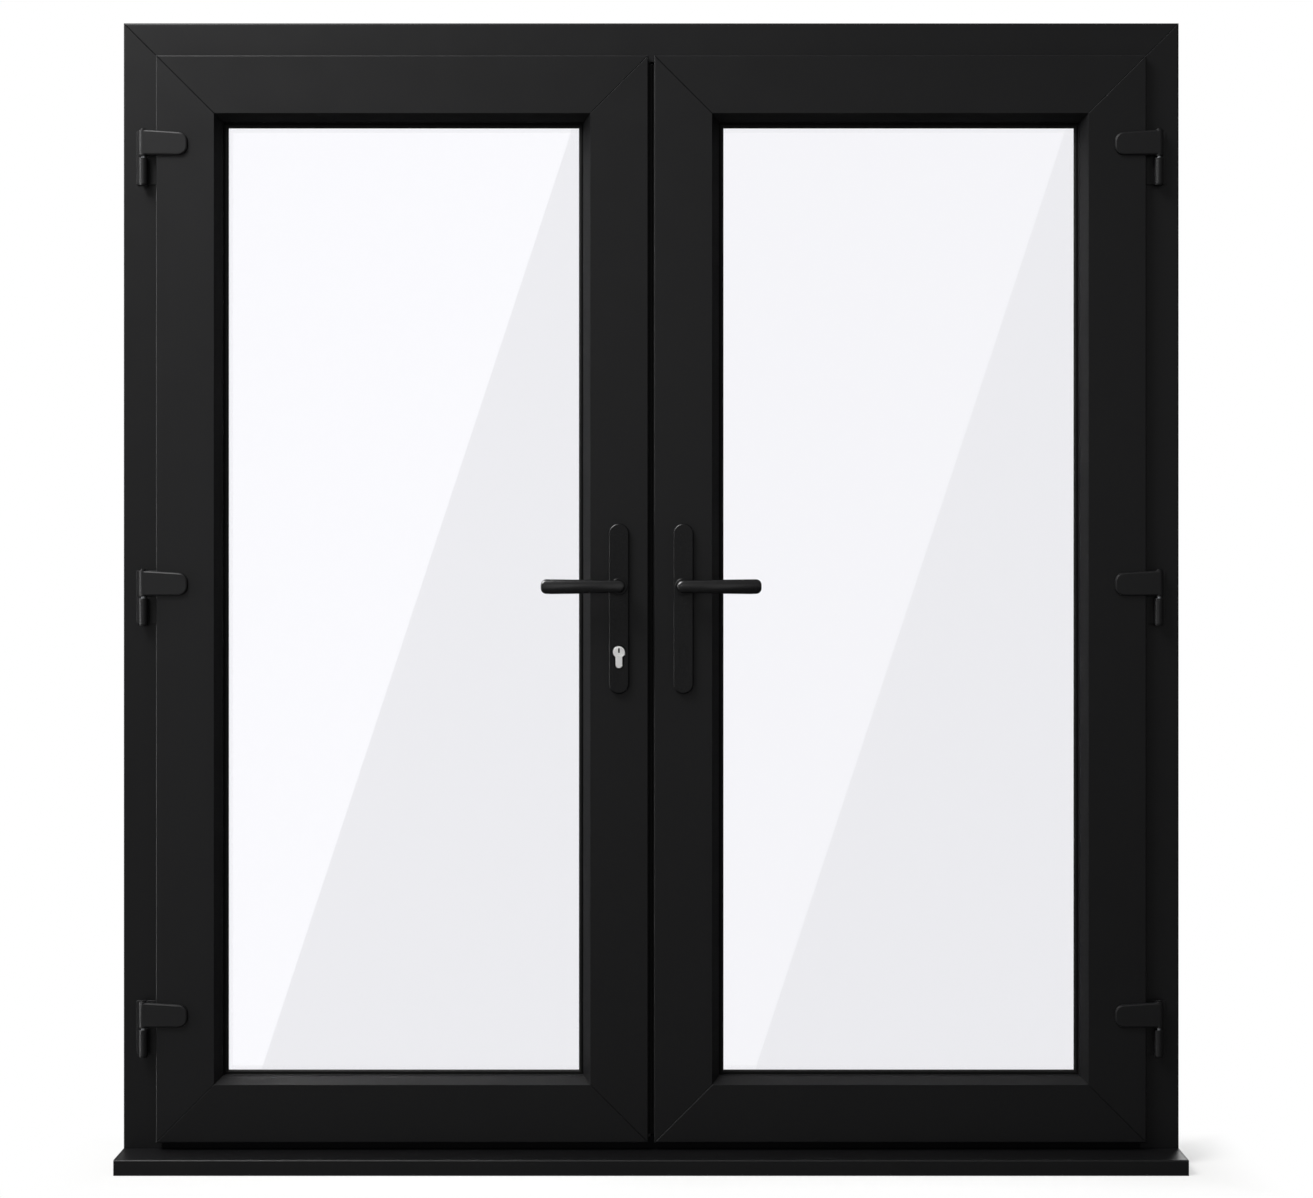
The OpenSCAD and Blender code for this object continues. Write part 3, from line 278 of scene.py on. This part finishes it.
glow = add(tree, "ShaderNodeMath", {"operation": "MULTIPLY"}, i0=unreflected(tree, path),
           i1=share.outputs[0])
matt = add(tree, "ShaderNodeBsdfDiffuse", None, Color=linear("#f4f4f2"))
white = add(tree, "ShaderNodeEmission", None, Color=WHITE, Strength=1.0)
both = add(tree, "ShaderNodeMixShader", None, i0=glow.outputs[0], i1=matt.outputs[0],
           i2=white.outputs[0])
gone = add(tree, "ShaderNodeBsdfTransparent")
shown = add(tree, "ShaderNodeMixShader", None, i0=mirrored(tree, path), i1=both.outputs[0],
            i2=gone.outputs[0])
add(tree, "ShaderNodeOutputMaterial", None, Surface=shown.outputs[0])
mesh.materials.append(paper)
print("floor of", paper.name)

# %% [markdown]
# Glass is seen by its reflections. A white card behind the camera, cut at a slant, gives each
# pane a bright upper left part and a slightly darker lower right part, as window glass has in a
# studio. The card's outline is found by mirroring the eye in the glass and drawing lines
# through the places on the pane where the slanted edge should appear. A card shows only to
# mirrored rays, and lets all others through.

# %% Card paper
CARD_DEPTH = -5.2


def reflected(point, mirror_y):
    eye = Vector((EYE.x, 2 * mirror_y - EYE.y, EYE.z))
    reach = (CARD_DEPTH - eye.y) / (point.y - eye.y)
    return eye + (point - eye) * reach


def card_paper(strength):
    made = bpy.data.materials.new("white card")
    made.use_nodes = True
    tree = made.node_tree
    tree.nodes.clear()
    reflected_ray = mirrored(tree, add(tree, "ShaderNodeLightPath").outputs)
    glow = add(tree, "ShaderNodeEmission", None, Color=WHITE, Strength=strength)
    unseen = add(tree, "ShaderNodeBsdfTransparent")
    card = add(tree, "ShaderNodeMixShader", None, i0=reflected_ray, i1=unseen.outputs[0],
               i2=glow.outputs[0])
    add(tree, "ShaderNodeOutputMaterial", None, Surface=card.outputs[0])
    return made


# %% [markdown]
# Beads and gaskets cover the rim of each pane, so the slant is set out on the glass in sight. It
# runs from near the lower left corner to near the upper right one. A margin all round keeps the
# card's other edges out of sight.

# %% Reflection cards
SLANT_TOP_IN = 13 * MM
SLANT_FOOT_IN = 58 * MM
GLASS_COVER = 24.5 * MM
CARD_MARGIN = 20 * MM
CARD_LIGHT = {"left_outer_pane": 1.0, "right_outer_pane": 0.7}

for pane, strength in CARD_LIGHT.items():
    low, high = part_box(pane)
    glass_y = low.y
    left, right = low.x + GLASS_COVER, high.x - GLASS_COVER
    foot, top = low.z + GLASS_COVER, high.z - GLASS_COVER
    slope = (right - SLANT_TOP_IN - left - SLANT_FOOT_IN) / (top - foot)
    run = CARD_MARGIN * slope
    outline = [(left - CARD_MARGIN, foot - CARD_MARGIN),
               (left + SLANT_FOOT_IN - run, foot - CARD_MARGIN),
               (right - SLANT_TOP_IN + run, top + CARD_MARGIN),
               (left - CARD_MARGIN, top + CARD_MARGIN)]
    points = [reflected(Vector((x, glass_y, z)), glass_y) for x, z in outline]
    mesh = bpy.data.meshes.new(pane + "_card")
    mesh.from_pydata(points, [], [(0, 1, 2, 3)])
    mesh.materials.append(card_paper(strength))
    card = bpy.data.objects.new(pane + "_card", mesh)
    bpy.context.scene.collection.objects.link(card)
    for ray in ("camera", "diffuse", "volume_scatter", "shadow"):
        setattr(card, "visible_" + ray, False)
    print("card for", pane, [tuple(round(v, 2) for v in p) for p in points])

# %% [markdown]
# Every finish starts from the same base: one shader with the colour, roughness and refraction of
# the real material. Patterns are laid out in the piece's own metres, so the scale of each is the
# number of its cells in a metre. The values of a noise pattern lie mostly within a narrow span
# round the middle, and that span is spread over the wanted range of roughness.

# %% Material base
NOISE_SPAN = {"From_Min": 0.3, "From_Max": 0.7}


def material(name, hex_code, roughness, metallic=0.0, ior=1.5, specular=0.5):
    made = bpy.data.materials.new(name)
    made.use_nodes = True
    tree = made.node_tree
    tree.nodes.clear()
    place = add(tree, "ShaderNodeTexCoord").outputs["Object"]
    skin = add(tree, "ShaderNodeBsdfPrincipled", None, Base_Color=linear(hex_code),
               Roughness=roughness, Metallic=metallic, IOR=ior, Specular_IOR_Level=specular)
    add(tree, "ShaderNodeOutputMaterial", None, Surface=skin.outputs[0])
    print("made", name)
    return made, tree, place, skin


def cells_per_metre(size_mm):
    return 1000 / size_mm


# %% [markdown]
# The sections are extruded uPVC with a black foil pressed on. Foil has a satin skin: its
# colour is even, and a fine emboss breaks up the gloss. The emboss is about half a millimetre,
# too fine to show singly here, so a broader and very weak unevenness of some centimetres
# stands in for it and makes the light on a long rail waver as it does on the real one.

# %% Foiled uPVC
EMBOSS_MM = 0.6
EMBOSS_DEEP = 0.05 * MM
EMBOSS_STRENGTH = 0.06
WAVER_MM = 60

foil, tree, place, skin = material("satin black foiled upvc", FOIL_BLACK, roughness=0.40, ior=1.53,
                                   specular=0.25)
emboss = add(tree, "ShaderNodeTexNoise", None, Vector=place, Scale=cells_per_metre(EMBOSS_MM),
             Detail=2.0)
waver = add(tree, "ShaderNodeTexNoise", None, Vector=place, Scale=cells_per_metre(WAVER_MM),
            Detail=2.0)
gloss = add(tree, "ShaderNodeMapRange", None, Value=waver.outputs[0], **NOISE_SPAN,
            To_Min=0.385, To_Max=0.415)
tree.links.new(gloss.outputs[0], skin.inputs["Roughness"])
relief = add(tree, "ShaderNodeBump", None, Height=emboss.outputs[0], Strength=EMBOSS_STRENGTH,
             Distance=EMBOSS_DEEP)
tree.links.new(relief.outputs[0], skin.inputs["Normal"])

# %% [markdown]
# Handles and hinges are zinc castings with a baked powder coat. Powder melts into a skin with
# a slight orange peel of about a millimetre. On the hinges it is about as dull as the foil. The
# handles are polished before they are coated, so theirs is smoother and a deeper black, and the
# levers, which hands keep rubbing, have the most gloss.

# %% Powder-coated zinc
PEEL_MM = 1.2
PEEL_DEEP = 0.05 * MM
PEEL_STRENGTH = 0.12
HANDLE_BLACK = "#080809"


def powder_coat(name, hex_code, smooth, rough, specular):
    made, tree, place, skin = material(name, hex_code, rough, specular=specular)
    peel = add(tree, "ShaderNodeTexNoise", None, Vector=place, Scale=cells_per_metre(PEEL_MM),
               Detail=1.0)
    gloss = add(tree, "ShaderNodeMapRange", None, Value=peel.outputs[0], **NOISE_SPAN,
                To_Min=smooth, To_Max=rough)
    tree.links.new(gloss.outputs[0], skin.inputs["Roughness"])
    relief = add(tree, "ShaderNodeBump", None, Height=peel.outputs[0], Strength=PEEL_STRENGTH,
                 Distance=PEEL_DEEP)
    tree.links.new(relief.outputs[0], skin.inputs["Normal"])
    return made


hinge_coat = powder_coat("matt black powder coat on cast zinc", FOIL_BLACK, smooth=0.40,
                         rough=0.47, specular=0.30)
plate_coat = powder_coat("satin black powder coat on cast zinc", HANDLE_BLACK, smooth=0.22,
                         rough=0.28, specular=0.31)
lever_coat = powder_coat("rubbed black powder coat on cast zinc", HANDLE_BLACK, smooth=0.20,
                         rough=0.26, specular=0.60)

# %% [markdown]
# Seals and gaskets are extruded EPDM rubber: nearly no colour, soft broad gloss, and a faint
# bloom of lighter powder on the skin, in clouds of about a centimetre.

# %% Rubber
BLOOM_MM = 12

rubber, tree, place, skin = material("extruded epdm rubber", "#060606", roughness=0.55, ior=1.52,
                                     specular=0.18)
bloom = add(tree, "ShaderNodeTexNoise", None, Vector=place, Scale=cells_per_metre(BLOOM_MM),
            Detail=4.0)
shade = add(tree, "ShaderNodeMix", {"data_type": "RGBA"}, i0=bloom.outputs[0],
            i6=linear("#040404"), i7=linear("#090909"))
tree.links.new(shade.outputs[2], skin.inputs["Base Color"])

# %% [markdown]
# The threshold is extruded aluminium, anodised black. The die leaves fine lines along its
# length, so the pattern is stretched along X. Real die lines are finer than these, which are
# drawn just coarse enough to show. Spacer bars in the glass are the same metal.

# %% Anodised aluminium
DIE_LINE_MM = 0.8
DIE_STRETCH = (0.01, 1.0, 1.0)

anodised, tree, place, skin = material("black anodised aluminium", "#1b1b1c", roughness=0.38,
                                       metallic=1.0)
stretch = add(tree, "ShaderNodeMapping", None, Vector=place, Scale=DIE_STRETCH)
lines = add(tree, "ShaderNodeTexNoise", None, Vector=stretch.outputs[0],
            Scale=cells_per_metre(DIE_LINE_MM), Detail=3.0)
gloss = add(tree, "ShaderNodeMapRange", None, Value=lines.outputs[0], **NOISE_SPAN,
            To_Min=0.32, To_Max=0.46)
tree.links.new(gloss.outputs[0], skin.inputs["Roughness"])

# %% [markdown]
# The lock cylinder is brass, blasted and plated with satin nickel, which gives a pale and soft
# gloss. The grit leaves marks that are drawn a little coarser here than they are. Behind its
# faces, in the keyway and round the plug, a painted shade darkens the cylinder where these
# recesses lie in shadow, so the colour changes with the depth behind the faces of the plug.

# %% Nickel-plated brass
FACE_DEEP = 1.0 * MM
BLAST_MM = 0.7
NICKEL = "#fbfaf9"
# Painted shade: the dark colour that keyway and plug gap get in place of their shadow.
KEYWAY_SHADE = "#2b2a28"

low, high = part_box("cylinder_plug")
nickel, tree, place, skin = material("satin nickel on machined brass", NICKEL, roughness=0.55,
                                     metallic=1.0)
marks = add(tree, "ShaderNodeTexNoise", None, Vector=place, Scale=cells_per_metre(BLAST_MM),
            Detail=3.0)
gloss = add(tree, "ShaderNodeMapRange", None, Value=marks.outputs[0], **NOISE_SPAN,
            To_Min=0.50, To_Max=0.60)
tree.links.new(gloss.outputs[0], skin.inputs["Roughness"])
along = add(tree, "ShaderNodeSeparateXYZ", None, Vector=place).outputs["Y"]
offset = add(tree, "ShaderNodeMath", {"operation": "SUBTRACT"}, i0=along, i1=(low.y + high.y) / 2)
reach = add(tree, "ShaderNodeMath", {"operation": "ABSOLUTE"}, i0=offset.outputs[0])
# Painted shade: deeper than the plug's faces, in keyway and recess, the colour turns dark.
inside = add(tree, "ShaderNodeMath", {"operation": "LESS_THAN"}, i0=reach.outputs[0],
             i1=(high.y - low.y) / 2 - FACE_DEEP)
tone = add(tree, "ShaderNodeMix", {"data_type": "RGBA"}, i0=inside.outputs[0], i6=linear(NICKEL),
           i7=linear(KEYWAY_SHADE))
tree.links.new(tone.outputs[2], skin.inputs["Base Color"])

# %% [markdown]
# Bolts, lock case, faceplate and the steel tubes are zinc plated. Zinc crystals give a soft
# blotchy gloss of a few millimetres. The keeps of the shootbolts are zinc plated too, but
# passivated black, so that they don't stand out against the black frame.

# %% Zinc-plated steel
CRYSTAL_MM = 5
CRYSTAL_SPAN = {"From_Min": 0.0, "From_Max": 0.8}

zinc, tree, place, skin = material("bright zinc on steel", "#b4b7bb", roughness=0.34, metallic=1.0)
crystals = add(tree, "ShaderNodeTexVoronoi", None, Vector=place,
               Scale=cells_per_metre(CRYSTAL_MM)).outputs["Distance"]
gloss = add(tree, "ShaderNodeMapRange", None, Value=crystals, **CRYSTAL_SPAN, To_Min=0.28,
            To_Max=0.42)
tree.links.new(gloss.outputs[0], skin.inputs["Roughness"])
tone = add(tree, "ShaderNodeMix", {"data_type": "RGBA"}, i0=crystals, i6=linear("#a8acb1"),
           i7=linear("#bdbfc2"))
tree.links.new(tone.outputs[2], skin.inputs["Base Color"])
dark_zinc = material("black passivated zinc on steel", "#161618", roughness=0.45, metallic=1.0)[0]

# %% [markdown]
# Setting blocks are moulded nylon, off-white and slightly waxy, with soft clouds in the gloss. The
# bushes of the hinges are the same plastic, dyed black.

# %% Nylon
CLOUD_MM = 8

nylon, tree, place, skin = material("moulded white nylon", "#dad9d3", roughness=0.45, ior=1.53)
cloud = add(tree, "ShaderNodeTexNoise", None, Vector=place, Scale=cells_per_metre(CLOUD_MM),
            Detail=2.0)
gloss = add(tree, "ShaderNodeMapRange", None, Value=cloud.outputs[0], **NOISE_SPAN,
            To_Min=0.40, To_Max=0.50)
tree.links.new(gloss.outputs[0], skin.inputs["Roughness"])
black_nylon = material("moulded black nylon", "#0c0c0c", roughness=0.45, ior=1.53, specular=0.3)[0]

# %% [markdown]
# The panes are clear float glass. Each is a real 4 mm sheet, so light is bent on the way in and
# out and every face reflects a little. The panes throw no shadow, because a renderer would
# take clear glass for a solid there and darken the floor behind it.

# %% Float glass
glass, _, _, skin = material("clear float glass", "#fdfdff", roughness=0.0, ior=1.52)
skin.inputs["Transmission Weight"].default_value = 1.0
for pane in ("left_outer_pane", "left_inner_pane", "right_outer_pane", "right_inner_pane"):
    frame["nodes"][pane].visible_shadow = False

# %% [markdown]
# Each solid now gets its finish by the slot that its record names. Some pieces share a slot but
# look different, so handle plates, levers and the keeps of the shootbolts have their own finish.

# %% Finishes on the solids
FINISHES = {
    "foiled_upvc": foil, "powder_coated_zinc": hinge_coat, "anodised_aluminium": anodised,
    "spacer_aluminium": anodised, "zinc_plated_steel": zinc, "nickel_plated_brass": nickel,
    "float_glass": glass, "epdm_rubber": rubber, "white_nylon": nylon, "black_nylon": black_nylon,
}
OWN_FINISHES = {"_plate": plate_coat, "_lever": lever_coat, "shootbolt_keeps": dark_zinc}
slot_of = {part["node"]: part["material_slot"] for part in frame["record"]["subparts"]}
for name, piece in frame["nodes"].items():
    own = next((finish for ending, finish in OWN_FINISHES.items() if name.endswith(ending)), None)
    piece.data.materials.clear()
    piece.data.materials.append(own or FINISHES[slot_of[name]])
print("finishes set on", len(slot_of), "pieces")

# %% [markdown]
# The solids come as flat triangles. A small node tree joins them and makes them smooth where they
# curve. It keeps edges sharper than 20 degrees, so that corners stay corners.

# %% Smooth curves
SMOOTH_ANGLE = math.radians(20)
JOIN_WITHIN = 0.01 * MM

smoothing = bpy.data.node_groups.new("join faces and smooth the curves", "GeometryNodeTree")
smoothing.interface.new_socket("Geometry", in_out="INPUT", socket_type="NodeSocketGeometry")
smoothing.interface.new_socket("Geometry", in_out="OUTPUT", socket_type="NodeSocketGeometry")
shape = add(smoothing, "NodeGroupInput").outputs[0]
joined = add(smoothing, "GeometryNodeMergeByDistance", None, Geometry=shape, Distance=JOIN_WITHIN)
curved = add(smoothing, "GeometryNodeSetShadeSmooth", {"domain": "FACE"},
             Geometry=joined.outputs[0])
angle = add(smoothing, "GeometryNodeInputMeshEdgeAngle").outputs["Unsigned Angle"]
sharp = add(smoothing, "FunctionNodeCompare", {"data_type": "FLOAT", "operation": "GREATER_THAN"},
            A=angle, B=SMOOTH_ANGLE)
creased = add(smoothing, "GeometryNodeSetShadeSmooth", {"domain": "EDGE"},
              Geometry=curved.outputs[0], Selection=sharp.outputs[0], Shade_Smooth=False)
add(smoothing, "NodeGroupOutput", None, Geometry=creased.outputs[0])
print("node tree:", smoothing.name)

# %% [markdown]
# Real edges are never knife sharp: the foil turns round the corners of a section and the coat
# rounds a casting. A narrow bevel catches the light there. Its width in millimetres follows from
# how each material is made. Before that, triangles that lie in one plane are made one face,
# because a bevel needs whole faces, and after it the flat faces get back their flat shading.
# The fine grooves along the mitres are in the solids already.

# %% Soft edges
EDGE_ROUND_MM = {
    "foiled_upvc": 0.5, "powder_coated_zinc": 0.5, "anodised_aluminium": 0.4,
    "zinc_plated_steel": 0.3, "nickel_plated_brass": 0.25, "epdm_rubber": 0.3, "white_nylon": 0.3,
    "float_glass": 0.5, "spacer_aluminium": 0.3, "black_nylon": 0.2,
}
FLAT_WITHIN = math.radians(0.5)
BEVEL_FROM = math.radians(35)
BEVEL_STEPS = 2


def soften(piece, width):
    piece.modifiers.new("smooth", "NODES").node_group = smoothing
    flats = piece.modifiers.new("whole flats", "DECIMATE")
    flats.decimate_type = "DISSOLVE"
    flats.angle_limit = FLAT_WITHIN
    edges = piece.modifiers.new("edges", "BEVEL")
    edges.width = width
    edges.segments = BEVEL_STEPS
    edges.limit_method = "ANGLE"
    edges.angle_limit = BEVEL_FROM
    edges.use_clamp_overlap = True
    flat = piece.modifiers.new("flat faces stay flat", "WEIGHTED_NORMAL")
    flat.keep_sharp = True


for name, piece in frame["nodes"].items():
    soften(piece, EDGE_ROUND_MM[slot_of[name]] * MM)
print("edges softened on", len(frame["nodes"]), "pieces")

# %% [markdown]
# The grips of the levers look slightly crowned, so that the light fades across them. The crown is
# too slight to change the outline, so only the shading is bent: the normals lean a little away
# from the middle of the lever.

# %% Crowned grips
CROWN = 0.3
levers = [name for name in frame["nodes"] if name.endswith("_lever")]
for name in levers:
    low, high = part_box(name)
    crown = frame["nodes"][name].modifiers.new("crowned grip", "NORMAL_EDIT")
    crown.mode = "RADIAL"
    crown.mix_mode = "COPY"
    crown.mix_factor = CROWN
    crown.offset = (low + high) / 2
print("crowned:", levers)

# %% [markdown]
# The small fixings are too fine for the solids, so they are made here: screws with a cross
# recess. A head is a stack of rings of points. Its recess is a cross, and a cross can be drawn
# like a circle whose radius changes with the angle, so every ring has the same number of
# points and neighbouring rings are simply joined by quads. How deep a head is sunk is given in
# millimetres, and all other values are shares of the head's radius or height.

# %% Screw heads
RING_POINTS = 48
HEAD_SUNK = 0.3
HEAD_HEIGHT = 0.35
HEAD_PROFILE = ((1.0, 0.4), (0.93, 0.75), (0.8, 1.0))
CROSS_ARM = 0.55
CROSS_HALF = 0.16
RECESS_TAPER = 0.8
RECESS_FLOOR = 0.1
NEARLY_ZERO = 1e-6


def cross_radius(turn, arm, half_width):
    along, across = abs(math.cos(turn)), abs(math.sin(turn))
    along, across = max(along, NEARLY_ZERO), max(across, NEARLY_ZERO)
    one = min(arm / along, half_width / across)
    other = min(arm / across, half_width / along)
    return max(one, other)


def screw_head(name, place, outward, radius, body):
    height = HEAD_HEIGHT * radius
    turns = [2 * math.pi * i / RING_POINTS for i in range(RING_POINTS)]
    cross = [cross_radius(t, CROSS_ARM * radius, CROSS_HALF * radius) for t in turns]
    rings = [([radius] * RING_POINTS, -HEAD_SUNK)]
    rings += [([wide * radius] * RING_POINTS, high * height) for wide, high in HEAD_PROFILE]
    rings += [(cross, height), ([RECESS_TAPER * r for r in cross], RECESS_FLOOR * height)]
    points = [(r * math.cos(t) * MM, r * math.sin(t) * MM, z * MM)
              for radii, z in rings for r, t in zip(radii, turns)]
    faces = []
    for k in range(0, (len(rings) - 1) * RING_POINTS, RING_POINTS):
        for i in range(RING_POINTS):
            j = (i + 1) % RING_POINTS
            faces.append((k + i, k + j, k + RING_POINTS + j, k + RING_POINTS + i))
    recess_floor = tuple(range(len(points) - RING_POINTS, len(points)))
    underside = tuple(reversed(range(RING_POINTS)))
    mesh = bpy.data.meshes.new(name)
    mesh.from_pydata(points, [], faces + [recess_floor, underside])
    mesh.materials.append(zinc)
    head = bpy.data.objects.new(name, mesh)
    head.location = place
    head.rotation_euler = Vector(outward).to_track_quat("Z", "Y").to_euler()
    bpy.context.scene.collection.objects.link(head)
    head.modifiers.new("smooth", "NODES").node_group = smoothing
    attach(head, body)


# %% [markdown]
# Two screws hold each pair of handle plates and are driven from the inside. The plate's box
# reaches to the face of its collar, so the plate's own face lies a step below that. The faceplate
# of the lock has screws along its length, clear of latch and bolts.

# %% Screws in plates and faceplate
PLATE_SCREW = 4.2
PLATE_SCREW_IN = 24 * MM
COLLAR_STEP = 3 * MM
FACEPLATE_SCREW = 3.6
FACEPLATE_SHARES = (0.012, 0.27, 0.42, 0.6, 0.75, 0.988)

screws = 0
for side in ("left", "right"):
    low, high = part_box(side + "_inside_plate")
    middle = (low.x + high.x) / 2
    for n, z in enumerate((low.z + PLATE_SCREW_IN, high.z - PLATE_SCREW_IN)):
        screw_head(f"{side}_plate_screw_{n}", (middle, high.y - COLLAR_STEP, z), (0, 1, 0),
                   PLATE_SCREW, side + "_leaf")
        screws += 1
low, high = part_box("lock_faceplate")
middle = (low.y + high.y) / 2
for n, share in enumerate(FACEPLATE_SHARES):
    z = low.z + share * (high.z - low.z)
    screw_head(f"faceplate_screw_{n}", (high.x, middle, z), (1, 0, 0), FACEPLATE_SCREW,
               "left_leaf")
    screws += 1
print("screws so far:", screws)

# %% [markdown]
# Each keep has a screw at either end. The lock keeps are several solids in one node, so their
# ends are found from the heights of its points, which lie in groups. The keeps of the shootbolts
# are a lower and an upper one, and their screws stand side by side. The count of the screws goes
# on from the last cell, because it also numbers these.

# %% Screws in the keeps
KEEP_SCREW = 2.2
KEEP_END = 2.7 * MM
KEEP_APART = 45 * MM

heights = sorted(v.co.z for v in frame["nodes"]["lock_keeps"].data.vertices)
breaks = [i for i in range(1, len(heights)) if heights[i] - heights[i - 1] > KEEP_APART]
low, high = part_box("lock_keeps")
middle = (low.y + high.y) / 2
for first, last in zip([0] + breaks, breaks + [len(heights)]):
    for z in (heights[first] + KEEP_END, heights[last - 1] - KEEP_END):
        screw_head(f"keep_screw_{screws}", (low.x, middle, z), (-1, 0, 0), KEEP_SCREW,
                   "right_leaf")
        screws += 1
low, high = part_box("shootbolt_keeps")
middle = (low.y + high.y) / 2
halfway = (low.z + high.z) / 2
heights = [v.co.z for v in frame["nodes"]["shootbolt_keeps"].data.vertices]
lower_top = max(z for z in heights if z < halfway)
upper_foot = min(z for z in heights if z > halfway)
for z, up in ((lower_top, 1), (upper_foot, -1)):
    for x in (low.x + KEEP_END, high.x - KEEP_END):
        screw_head(f"shootbolt_keep_screw_{screws}", (x, middle, z), (0, 0, up), KEEP_SCREW,
                   "frame")
        screws += 1
print("screws:", screws)
